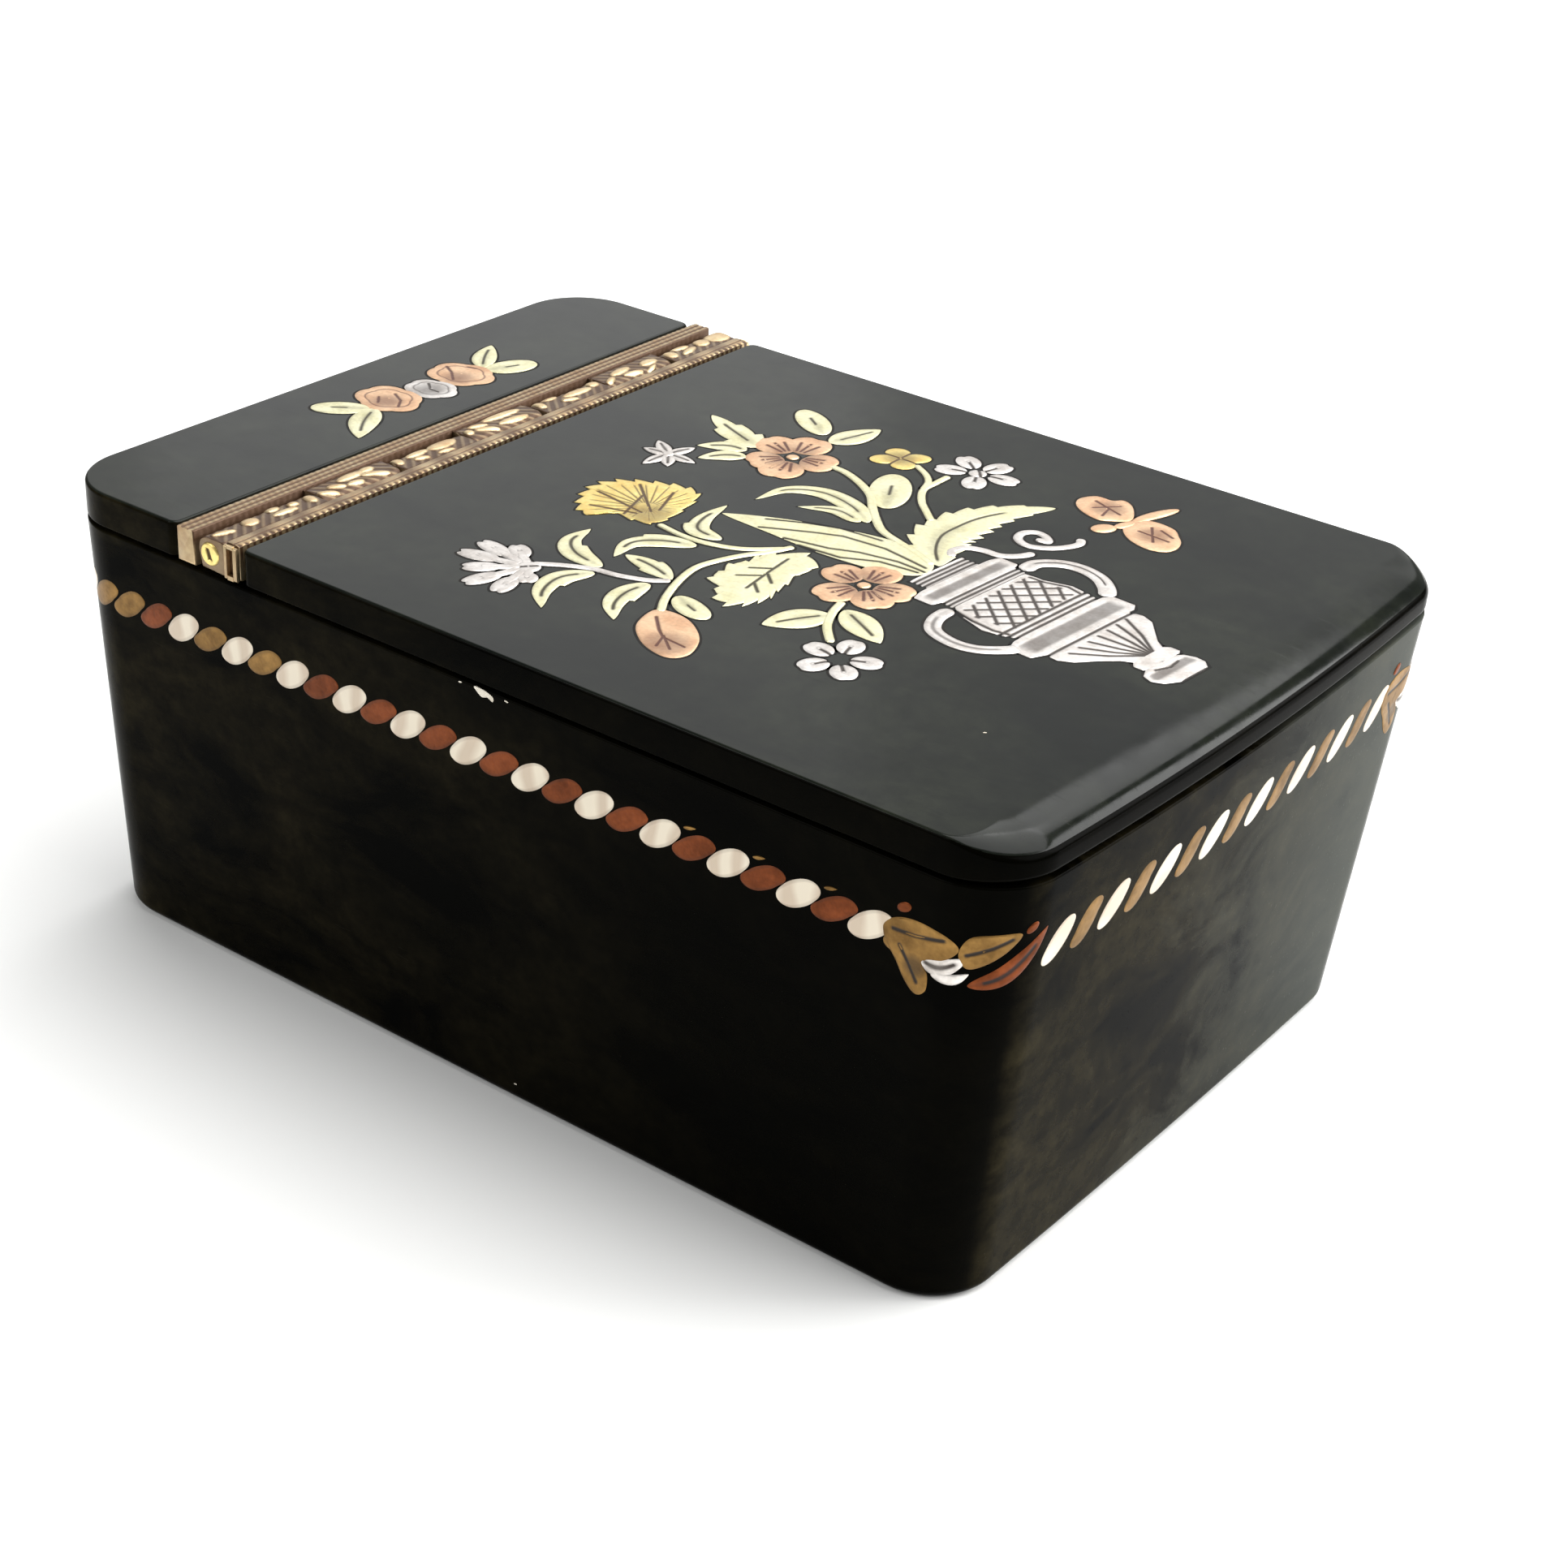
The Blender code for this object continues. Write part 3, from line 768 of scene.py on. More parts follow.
def add_node(tree: NodeTree, kind: str, *values: Any, **named: Any) -> Node:
    """Adds a node, sets it up and links it.

    Args:
        tree: the material's node tree.
        kind: the node's Blender name after its opening "ShaderNode".
        *values: its first inputs, as fill_sockets takes them.
        **named: settings of the node in small letters, and inputs with a capital.

    Returns:
        The node.
    """
    node = tree.nodes.new("ShaderNode" + kind)
    for name in [name for name in named if name.islower()]:
        setattr(node, name, named.pop(name))
    fill_sockets(tree, node, *values, **named)
    return node


def cells(size: float) -> float:
    """How many cells of a pattern fit in a metre, from a cell's size in millimetres."""
    return 1.0 / (size * MM)


def new_material(name: str) -> tuple[Material, NodeTree, Node, NodeSocket]:
    """An empty Principled material.

    Args:
        name: the material's name.

    Returns:
        The material, its tree, its shader and the Object coordinate socket.
    """
    made = bpy.data.materials.new(name)
    made.use_nodes = True
    tree = made.node_tree
    shader = tree.nodes["Principled BSDF"]
    return made, tree, shader, add_node(tree, "TexCoord").outputs["Object"]


@dataclass(frozen=True)
class PolishedTortoiseshell:
    """Pressed and polished tortoiseshell: near black, with brown clouds deep in a soft gloss.

    Attributes:
        name: the material's name.
        dark: the shell between its clouds.
        cloud: its brown clouds.
        rear_end: how strongly the clouds show at the rear end.
        amount: how strongly they show from the middle on.
        thumb_end: how strongly they show on the face towards the thumb end, as painted light that pales that
            face.
        painted_reflection: how strongly a painted reflection pales the far side of the thumb end.
        specular: specular level, far lower on the darker copy of the shell that paints shade.
        roughness: how the polish scatters a reflection.
        reflection_colour: colour of the painted reflection.
    """

    name: str
    dark: str
    cloud: str
    rear_end: float
    amount: float
    thumb_end: float
    painted_reflection: float
    specular: float
    roughness: float
    reflection_colour: str = "#565A54"

    def make(self) -> Material:
        """Builds the nodes.

        Returns:
            The material.
        """
        made, tree, shader, where = new_material(self.name)
        # Clouds of shell are up to 11 mm across and drawn out along the plate, with a grain of
        # about 1.4 mm in them.
        lie = add_node(tree, "Mapping", where, Scale=(0.75, 1.0, 1.6))
        cloud = add_node(tree, "TexNoise", lie, Scale=cells(11.1), Detail=5.0, Roughness=0.62,
                         Distortion=0.5)
        grain = add_node(tree, "TexNoise", where, Scale=cells(1.43), Detail=4.0, Roughness=0.7)
        place = add_node(tree, "SeparateXYZ", where).outputs
        face = add_node(tree, "Attribute", attribute_name=ENGRAVING_AND_LIT_FACE).outputs["Fac"]
        # Painted light: the clouds show more strongly on the face towards the thumb end, which paints that
        # face paler.
        rest = add_node(tree, "MapRange", place["X"], -0.038, 0.02, self.rear_end, self.amount)
        amount = add_node(tree, "MapRange", face, 0.0, 1.0, rest, self.thumb_end)
        share = add_node(tree, "MapRange", cloud, 0.36, 0.68)
        speck = add_node(tree, "MapRange", grain, 0.35, 0.72, 0.45, 1.25)
        for factor in (speck, amount):
            share = add_node(tree, "Math", share, factor, operation="MULTIPLY")
        colour = add_node(tree, "Mix", share, linear(self.dark), linear(self.cloud),
                          data_type="RGBA")
        # Painted reflection: a pale wash that starts near the middle of the thumb end and grows towards its
        # far side.
        drift = add_node(tree, "MapRange", cloud, 0.3, 0.7, -0.011, 0.011)
        across = add_node(tree, "Math", place["Y"], drift, operation="ADD")
        painted_reflection = add_node(tree, "MapRange", across, -0.006, 0.028, 0.0, self.painted_reflection)
        patch = add_node(tree, "MapRange", cloud, 0.3, 0.6, 1.0, 0.55)
        for factor in (face, patch):
            painted_reflection = add_node(tree, "Math", painted_reflection, factor, operation="MULTIPLY")
        colour = add_node(tree, "Mix", painted_reflection, colour, linear(self.reflection_colour), data_type="RGBA")
        # Fine wear scratches run mostly along the box, about 0.2 mm wide as drawn here,
        # which is coarser than the real ones, so that they show. Handling dulls the polish in
        # patches of about 2.4 mm.
        drawn = add_node(tree, "Mapping", where, Rotation=(0.0, 0.0, 0.5),
                         Scale=(cells(3.85), cells(0.1923), cells(0.385)))
        scratch = add_node(tree, "TexNoise", drawn, Scale=1.0, Detail=2.0)
        dulled = add_node(tree, "TexNoise", where, Scale=cells(2.38), Detail=5.0, Roughness=0.65)
        lines = add_node(tree, "MapRange", scratch, 0.6, 0.75, 0.0, 0.1)
        patches = add_node(tree, "MapRange", dulled, 0.35, 0.75, self.roughness,
                           self.roughness + 0.1)
        rough = add_node(tree, "Math", lines, patches, operation="ADD")
        bump = add_node(tree, "Bump", Strength=0.06, Distance=0.1 * MM, Height=dulled)
        fill_sockets(tree, shader, Base_Color=colour, Roughness=rough, Normal=bump,
                     Specular_IOR_Level=self.specular)
        return made


@dataclass(frozen=True)
class ChasedMetal:
    """Sheet metal chased by hand and rubbed: bright on top, brown where the tool went in.

    Attributes:
        name: the material's name.
        bright: the colour of its high places.
        worn: the colour that tarnish turns it to in patches.
        engraved: the colour in its cut lines.
        roughness: how its surface scatters a reflection.
    """

    name: str
    bright: str
    worn: str
    engraved: str
    roughness: float

    def make(self) -> Material:
        """Builds the nodes.

        Returns:
            The material.
        """
        made, tree, shader, where = new_material(self.name)
        cut = add_node(tree, "Attribute", attribute_name=ENGRAVING_AND_LIT_FACE).outputs["Fac"]
        # Tarnish lies in patches of about 2 mm, and the graver's chatter is about 0.3 mm.
        patch = add_node(tree, "TexNoise", where, Scale=cells(2.0), Detail=4.0, Roughness=0.6)
        chatter = add_node(tree, "TexNoise", where, Scale=cells(0.3125), Detail=2.0)
        tarnish = add_node(tree, "MapRange", patch, 0.38, 0.72, 0.0, 0.8)
        colour = add_node(tree, "Mix", tarnish, linear(self.bright), linear(self.worn),
                          data_type="RGBA")
        fine = add_node(tree, "MapRange", chatter, 0.3, 0.7, 0.88, 1.06)
        grey = add_node(tree, "CombineColor", fine, fine, fine)
        colour = add_node(tree, "Mix", 1.0, colour, grey, data_type="RGBA", blend_type="MULTIPLY")
        depth = add_node(tree, "MapRange", cut, 0.12, 0.75)
        colour = add_node(tree, "Mix", depth, colour, linear(self.engraved), data_type="RGBA")
        metal = add_node(tree, "MapRange", depth, 0.0, 1.0, 1.0, 0.55)
        rough = add_node(tree, "MapRange", patch, 0.3, 0.7, self.roughness, self.roughness + 0.14)
        bump = add_node(tree, "Bump", Strength=0.25, Distance=0.06 * MM, Height=chatter)
        fill_sockets(tree, shader, Base_Color=colour, Metallic=metal, Roughness=rough, Normal=bump)
        return made


@dataclass(frozen=True)
class MotherOfPearl:
    """Cut and polished mother-of-pearl: creamy and glossy, faintly banded, pink in places.

    Attributes:
        name: the material's name.
        cream: its main colour.
        blush: the colour between its layers.
        engraved: the colour at its edges and in its cuts.
    """

    name: str
    cream: str
    blush: str
    engraved: str

    def make(self) -> Material:
        """Builds the nodes.

        Returns:
            The material.
        """
        made, tree, shader, where = new_material(self.name)
        # Layers of shell show as bands about 2.2 mm apart. A band is 0.314 of a cell.
        layer = add_node(tree, "TexWave", where, wave_type="BANDS", Scale=0.314 * cells(2.243),
                         Distortion=6.0, Detail=2.0).outputs["Fac"]
        share = add_node(tree, "MapRange", layer, 0.2, 0.9, 0.0, 0.7)
        colour = add_node(tree, "Mix", share, linear(self.cream), linear(self.blush),
                          data_type="RGBA")
        cut = add_node(tree, "Attribute", attribute_name=ENGRAVING_AND_LIT_FACE).outputs["Fac"]
        depth = add_node(tree, "MapRange", cut, 0.1, 0.8)
        colour = add_node(tree, "Mix", depth, colour, linear(self.engraved), data_type="RGBA")
        fill_sockets(tree, shader, Base_Color=colour, Roughness=0.22, Coat_Weight=0.4)
        return made


@dataclass(frozen=True)
class DullMatter:
    """What takes no polish: mastic round the inlay, which also paints the shadow in its gap, broken shell,
    and the floor's matt paint.

    Attributes:
        name: the material's name.
        colour: its main colour.
        rubbed: its colour where it has been rubbed.
        patch: how long a rubbed place is, in millimetres.
        amount: how strongly the rubbed places show.
        roughness: how its surface scatters a reflection.
        specular: specular level.
    """

    name: str
    colour: str
    rubbed: str
    patch: float = 2.22
    amount: float = 1.0
    roughness: float = 0.5
    specular: float = 0.12

    def make(self) -> Material:
        """Builds the nodes.

        Returns:
            The material.
        """
        made, tree, shader, where = new_material(self.name)
        noise = add_node(tree, "TexNoise", where, Scale=cells(self.patch), Detail=3.0)
        share = add_node(tree, "MapRange", noise, 0.45, 0.75, 0.0, self.amount)
        colour = add_node(tree, "Mix", share, linear(self.colour), linear(self.rubbed),
                          data_type="RGBA")
        fill_sockets(tree, shader, Base_Color=colour, Roughness=self.roughness,
                     Specular_IOR_Level=self.specular)
        return made


class Finish(Enum):
    """The finishes of the box."""

    LID_SHELL = PolishedTortoiseshell("polished_tortoiseshell_lid", "#0B0E0B", "#23261D",
                                      0.7, 0.7, 0.7, 0.0, 0.13, 0.1)
    # A darker, duller copy of the lid's shell for the walls and steep faces: painted shade, so that faces
    # turned from the light read darker than the tops.
    BODY_SHELL = PolishedTortoiseshell("polished_tortoiseshell_body", "#020201", "#443D28",
                                       0.3, 0.03, 0.46, 0.8, 0.011, 0.16)
    STRAP_GOLD = ChasedMetal("chased_gilt_strap", "#E9D2A6", "#C6A077", "#4A3320", 0.32)
    YELLOW_GOLD = ChasedMetal("engraved_yellow_gold", "#F1DC8E", "#D9B363", "#4E3614", 0.3)
    GREEN_GOLD = ChasedMetal("engraved_green_gold", "#EFEBC6", "#CFC99E", "#3B351F", 0.32)
    SILVER = ChasedMetal("engraved_silver", "#E6E1DC", "#ADA49C", "#3B332D", 0.32)
    ROSE_GOLD = ChasedMetal("engraved_rose_gold", "#ECC6A0", "#C79A78", "#573122", 0.32)
    COPPER = ChasedMetal("inlaid_copper", "#7C4225", "#4C2816", "#1C100A", 0.38)
    OLIVE_GOLD = ChasedMetal("tarnished_gold", "#92703F", "#5E4526", "#221910", 0.38)
    PEARL = MotherOfPearl("polished_mother_of_pearl", "#E4D8C2", "#BFA88F", "#5A4636")
    CHIP = DullMatter("bare_broken_shell", "#E6DFD0", "#B9AF9C")
    # Dark mastic round the inlay, which also stands in for the shadow in the gap: painted shadow.
    MASTIC_AND_SHADOW = DullMatter("rubbed_mastic_and_painted_shadow", "#0C0A08", "#1C1712")
    FLOOR_PAINT = DullMatter("matt_floor_paint", "#F2F2F0", "#E4E4E2", 33.3, 0.05, 0.9, 0.1)

    @cached_property
    def material(self) -> Material:
        """The finish's material, made when it is first asked for."""
        return self.value.make()


# The box


def plan_outline(rear: float, front: float, half: float, radius_rear: float,
                 radius_front: float, bow: float = 0.0) -> Array:
    """Outline of a rounded rectangle with a bowed front, counter-clockwise.

    Corners are quarter circles. Frontness rises from 0 to 1 round the front corners, and the
    front swells past them by the bow times one less the square of y over the half width.

    Args:
        rear: the rear side's x.
        front: the front side's x before it swells.
        half: half the width.
        radius_rear: radius of the rear corners.
        radius_front: radius of the front corners.
        bow: how far the front swells.

    Returns:
        Rows of x, y, normal x, normal y and frontness.
    """
    corners = ((front - radius_front, half - radius_front, radius_front, 0.0),
               (rear + radius_rear, half - radius_rear, radius_rear, 90.0),
               (rear + radius_rear, -half + radius_rear, radius_rear, 180.0),
               (front - radius_front, -half + radius_front, radius_front, 270.0))
    turn = np.linspace(0.0, 90.0, 25)
    arcs = []
    for x, y, radius, start in corners:
        angle = np.radians(start + turn)
        way = np.stack([np.cos(angle), np.sin(angle)], -1)
        arcs.append(np.concatenate([np.array([x, y]) + radius * way, way], -1))
    rows = []
    for index, arc_rows in enumerate(arcs):
        following = arcs[(index + 1) % 4][0]
        share = np.linspace(0.0, 1.0, 42)[1:-1, None]
        rows += [arc_rows, mix(arc_rows[-1], following, share)]
    outline = np.concatenate(rows)
    outline[:, 2:] /= np.linalg.norm(outline[:, 2:], axis=1, keepdims=True)
    frontness = smooth_step((outline[:, 0] - front + radius_front) / radius_front)
    outline[:, 0] += bow * (1.0 - (outline[:, 1] / half) ** 2) * frontness
    return np.concatenate([outline, frontness[:, None]], -1)


def inset_ring(outline: Array, inset: Any, height: Any) -> Array:
    """The outline moved in along its normals, at a height."""
    place = outline[:, :2] - outline[:, 2:4] * np.reshape(inset, (-1, 1))
    return np.column_stack([place, np.broadcast_to(height, len(place))])


@dataclass
class Body:
    """The hollow body of the box, with its rim, cavity and leaning walls."""

    length: float = 85.2
    width: float = 58.0
    height: float = 33.2
    front_bow: float = 1.2
    foot_bow: float = 0.3
    wall: float = 2.4
    floor: float = 2.4
    rear_draft: float = 0.3
    side_draft: float = 1.6
    front_draft: float = 2.6
    rear_radius: float = 5.5
    front_radius: float = 5.0
    foot_radius: float = 0.8
    rim_edge: float = 0.15
    cavity_radius: float = 1.4

    def outline(self, height: float, inset: float = 0.0) -> Array:
        """The body's outline at a height, set in from its wall.

        Args:
            height: height above the underside.
            inset: distance in from the wall.

        Returns:
            Rows of x, y, normal x and normal y.
        """
        lean = (self.height - height) / self.height
        front = self.length / 2 - self.front_bow
        return plan_outline(
            -self.length / 2 + self.rear_draft * lean + inset,
            front - self.front_draft * lean - inset,
            self.width / 2 - self.side_draft * lean - inset,
            max(self.rear_radius - inset, self.foot_radius),
            max(self.front_radius - inset, self.foot_radius),
            mix(self.front_bow, self.foot_bow, lean),
        )[:, :4]

    def level(self, height: float, inset: float = 0.0) -> Array:
        """A level ring of the body."""
        outline = self.outline(height, inset)
        return inset_ring(outline, 0.0, height)

    def build(self) -> Object:
        """Makes the body as one shell, from the underside up the wall and down the cavity.

        Rings go round the foot and the cavity's floor by quarter circles, and over the rim by
        a small one each side.

        Returns:
            The body's object.
        """
        foot, rim, cove = self.foot_radius, self.rim_edge, self.cavity_radius
        quarter = np.radians(np.linspace(0.0, 90.0, 13)).tolist()
        small = quarter[::4]
        rings = [self.level(0.0, foot + 0.1)]
        rings += [self.level(foot * (1 - math.cos(a)), foot * (1 - math.sin(a))) for a in quarter]
        rings += [self.level(z) for z in np.linspace(foot + 0.05, self.height - rim - 0.02, 12)]
        rings += [self.level(self.height - rim * (1 - math.sin(a)), rim * (1 - math.cos(a)))
                  for a in small]
        rings += [self.level(self.height - rim * (1 - math.cos(a)),
                             self.wall - rim * (1 - math.sin(a))) for a in small]
        rings += [self.level(z, self.wall)
                  for z in np.linspace(self.height - rim - 0.05, self.floor + cove + 0.05, 4)]
        rings += [self.level(self.floor + cove * (1 - math.cos(a)),
                             self.wall + cove * (1 - math.sin(a))) for a in quarter[::-1]]
        rings.append(self.level(self.floor, self.wall + cove + 0.1))
        # On the body the attribute tells how squarely a point faces the thumb end, and the finish paints
        # that face paler: painted light.
        lit_face_share = smooth_step((self.outline(0.0)[:, 2] - 0.88) / 0.11)
        shade = np.broadcast_to(lit_face_share, (len(rings), len(lit_face_share))).copy()
        shade[30:] = 0.0
        return make_piece("polished_body", [Shell(np.stack(rings), None, None, shade)],
                          Finish.BODY_SHELL, "box", "tortoiseshell", ("box_body",))


@dataclass
class Plates:
    """The fixed rear plate and the lid, which is rolled over at the thumb end."""

    body: Body
    seam: float = 0.3
    thickness: float = 2.65
    edge: float = 0.3
    roll: float = 4.0
    drop: float = 1.5
    lip: float = 0.45
    butt_radius: float = 0.8
    rear_length: float = 13.0
    strap_width: float = 6.0
    strap_gap: float = 0.3

    @property
    def bottom(self) -> float:
        """Height of the plates' undersides."""
        return self.body.height + self.seam

    @property
    def top(self) -> float:
        """Height of the plates' tops."""
        return self.bottom + self.thickness

    def rings(self, outline: Array, lip: Array, roll: Array, drop: Array) -> Array:
        """Rings from the underside round the edge to the top.

        The lower edge is a quarter circle of the lip's radius, and the upper edge a quarter
        ellipse, as deep as the roll and as tall as the drop.

        Args:
            outline: the plate's outline.
            lip: radius of the lower edge at each point.
            roll: depth of the upper edge at each point.
            drop: its height at each point.

        Returns:
            The rings in order.
        """
        rings = [inset_ring(outline, lip + 0.1, self.bottom)]
        for angle in np.radians(np.linspace(0.0, 90.0, 9)):
            rings.append(inset_ring(outline, lip * (1 - math.sin(angle)),
                                    self.bottom + lip * (1 - math.cos(angle))))
        for angle in np.radians(np.linspace(0.0, 90.0, 33)):
            rings.append(inset_ring(outline, roll * (1 - math.cos(angle)),
                                    self.top - drop * (1 - math.sin(angle))))
        rings.append(inset_ring(outline, roll + 0.08, self.top))
        return np.stack(rings)

    def build(self) -> list[Object]:
        """Makes the rear plate and the lid.

        Returns:
            Both objects.
        """
        body = self.body
        rear = -body.length / 2
        strap_rear = rear + self.rear_length
        outline = plan_outline(rear, strap_rear, body.width / 2, body.rear_radius,
                               self.butt_radius)
        even = np.ones(len(outline))
        plate = make_piece(
            "polished_rear_plate",
            [Shell(self.rings(outline, body.rim_edge * even, self.edge * even,
                              self.edge * even))],
            Finish.LID_SHELL, "box", "tortoiseshell", ("rear_top_plate",),
            rim=Finish.BODY_SHELL)
        lid_rear = strap_rear + self.strap_width + 2 * self.strap_gap
        outline = plan_outline(lid_rear, body.length / 2 - body.front_bow, body.width / 2,
                               self.butt_radius, body.front_radius,
                               body.front_bow)
        frontness = outline[:, 4]
        lid = make_piece(
            "polished_lid",
            [Shell(self.rings(outline, mix(body.rim_edge, self.lip, frontness),
                              mix(self.edge, self.roll, frontness),
                              mix(self.edge, self.drop, frontness)))],
            Finish.LID_SHELL, "lid", "tortoiseshell", ("lid",),
            rim=Finish.BODY_SHELL)
        return [plate, lid]


@dataclass
class HingeStrap:
    """The chased strap across the top: two leaves, seven knuckles and the pin."""

    plates: Plates
    gap: float = 0.3
    rear_leaf: float = 1.7
    front_bar: float = 1.25
    proud: float = 0.1
    clearance: float = 0.15
    knuckle_gap: float = 0.15
    end_step: float = 0.14
    first_length: float = 10.6
    count: int = 7
    ridges: int = 3
    ridge_height: float = 0.12
    scallop: float = 0.62
    pin_radius: float = 0.5
    boss_radius: float = 0.9
    boss_depth: float = 0.5
    groove_depth: float = 0.35
    groove_width: float = 0.62
    frame: float = 0.36

    def __post_init__(self) -> None:
        """Works out the strap's levels and lines."""
        body = self.plates.body
        self.low = self.plates.bottom
        self.top = self.plates.top + self.proud
        self.half = body.width / 2 + self.proud
        self.radius = (self.top - self.low) / 2
        self.pin_z = self.low + self.radius
        self.rear = -body.length / 2 + self.plates.rear_length + self.gap
        self.leaf_front = self.rear + self.rear_leaf
        self.pin_x = self.leaf_front + self.clearance + self.radius
        self.bar_rear = self.pin_x + self.radius + self.clearance
        self.front = self.bar_rear + self.front_bar

    def spans(self) -> list[tuple[float, float]]:
        """Start and end of each knuckle along Y, from the near end."""
        rest = (2 * self.half - self.first_length) / (self.count - 1)
        edges = [-self.half + self.end_step, -self.half + self.first_length]
        edges += [edges[1] + rest * index for index in range(1, self.count)]
        edges[-1] -= self.end_step
        last = self.count - 1
        return [(edges[index] + (self.knuckle_gap / 2 if index else 0.0),
                 edges[index + 1] - (self.knuckle_gap / 2 if index < last else 0.0))
                for index in range(self.count)]

    def carried(self, profile: Callable[[Array], tuple[Array, Array]], low: float, high: float,
                cell: float = 0.08, cap: float = 0.42) -> Shell:
        """A profile carried along Y, with its two ends rounded off by a small chamfer.

        Args:
            profile: gives points (x, z) and shades for an array of y, rows by points.
            low: where it starts.
            high: where it ends.
            cell: step along Y.
            cap: how dark its two end faces are.

        Returns:
            A closed shell with flat caps.
        """
        y = np.linspace(low, high, max(int((high - low) / cell), 4))
        y = np.concatenate([y[:1], y[:1] + 0.01, y[1:-1], y[-1:] - 0.01, y[-1:]])
        points, shade = profile(y)
        shade[[0, -1]] = cap
        middle = points.mean(1, keepdims=True)
        ends = 1 - 0.09 * np.exp(-np.minimum(y - low, high - y) / 0.05)[:, None, None]
        points = middle + (points - middle) * ends
        rings = np.concatenate([points[..., :1], np.broadcast_to(
            y[:, None, None], points[..., :1].shape), points[..., 1:]], -1)
        return Shell(rings, None, None, shade)

    def footed(self, x: Array, top: Array, shade: Array, side: float) -> tuple[Array, Array]:
        """A profile's top with a straight side down to the foot at each end.

        Args:
            x: the top's places across the strap.
            top: its heights, one row for each y.
            shade: its shades.
            side: shade of the two sides.

        Returns:
            Points and shades.
        """
        foot = np.broadcast_to([[[x[0], self.low]], [[x[-1], self.low]]], (2, 1, 2))
        rear, front = (np.repeat(corner[None], len(top), 0) for corner in foot)
        level = np.stack([np.broadcast_to(x, top.shape), top], -1)
        return (np.concatenate([rear, level, front], 1),
                np.pad(shade, ((0, 0), (1, 1)), constant_values=side))

    def reeded(self, y: Array) -> tuple[Array, Array]:
        """Profile of the rear leaf: reeds along it, each scalloped like a rope.

        The top is base plus the reed's height times the root of a half sine across, and each
        reed is cut by slanting grooves, as a cosine of y plus half of x.

        Args:
            y: places along the strap.

        Returns:
            Points and shades.
        """
        base = self.top - self.ridge_height
        x = np.linspace(self.leaf_front, self.rear, 40)
        reed = np.abs(np.sin(math.pi * self.ridges * (self.leaf_front - x) / self.rear_leaf))
        slant = np.cos(2 * math.pi * (y[:, None] + 0.5 * x[None]) / self.scallop)
        cut = 0.5 + 0.5 * slant
        top = base + self.ridge_height * np.sqrt(reed)[None] * (1 - 0.3 * cut)
        front_edge = smooth_step((x - self.leaf_front + 0.12) / 0.08)[None]
        shade = np.clip(0.42 + 0.5 * (1 - reed[None]) + 0.1 * cut + front_edge, 0, 0.95)
        return self.footed(x, top, shade, 0.15)

    def milled(self, y: Array) -> tuple[Array, Array]:
        """Profile of the front bar: a plain band with a milled edge towards the lid.

        The last third of its width falls by a rounded shoulder, and the shoulder is notched by
        a cosine of y.

        Args:
            y: places along the strap.

        Returns:
            Points and shades.
        """
        x = np.linspace(self.bar_rear, self.front, 26)
        share = (x - self.bar_rear) / self.front_bar
        notch = 0.5 + 0.5 * np.cos(2 * math.pi * y / self.scallop)
        edge = smooth_step((share - 0.6) / 0.35)[None]
        shoulder = 0.10 * edge * (0.25 + 0.75 * notch[:, None])
        round_off = 0.05 * np.exp(-share / 0.06)[None] + 0.04 * np.exp(-(1 - share) / 0.05)[None]
        groove = np.exp(-((share - 0.56) / 0.05) ** 2)[None]
        top = self.top - shoulder - round_off - 0.05 * groove
        shade = 0.56 + 0.1 * np.cos(1.7 * y)[:, None] - 0.3 * edge * (1 - notch[:, None])
        shade = np.clip(shade + 0.4 * groove + 0.4 * edge * notch[:, None], 0, 0.9)
        return self.footed(x, top, shade, 0.2)

    def knuckle(self, low: float, high: float, sprig: int, side: float) -> Shell:
        """One knuckle: a barrel joined flat to its leaf, chased with a sprig of long leaves.

        The profile is a quarter round on the free side, a little square so that it fills its
        place, and then level over to the leaf. The relief is the height of each leaf of the
        sprig, a half ellipsoid over the unrolled profile, the greatest of all.

        Args:
            low: where it starts along Y.
            high: where it ends.
            sprig: which sprig it carries.
            side: which leaf it grows from: 1 for the front bar and -1 for the rear leaf.

        Returns:
            The knuckle's shell.
        """
        turn = np.radians(np.linspace(-90.0, 0.0, 26))
        room = self.radius + self.clearance + 0.25
        level = np.linspace(0.0, room, 20)[1:]
        run = np.concatenate([turn * self.radius, level])
        swell = self.radius * (1 + 0.07 * np.sin(2 * turn) ** 2)
        flat = np.concatenate([swell * np.sin(turn), level])
        rise = np.concatenate([swell * np.cos(turn), np.full(len(level), self.radius)])
        lift = np.concatenate([np.sin(turn), np.zeros(len(level))])
        stand = np.concatenate([np.cos(turn), np.ones(len(level))])
        leaves = SPRIGS[sprig]

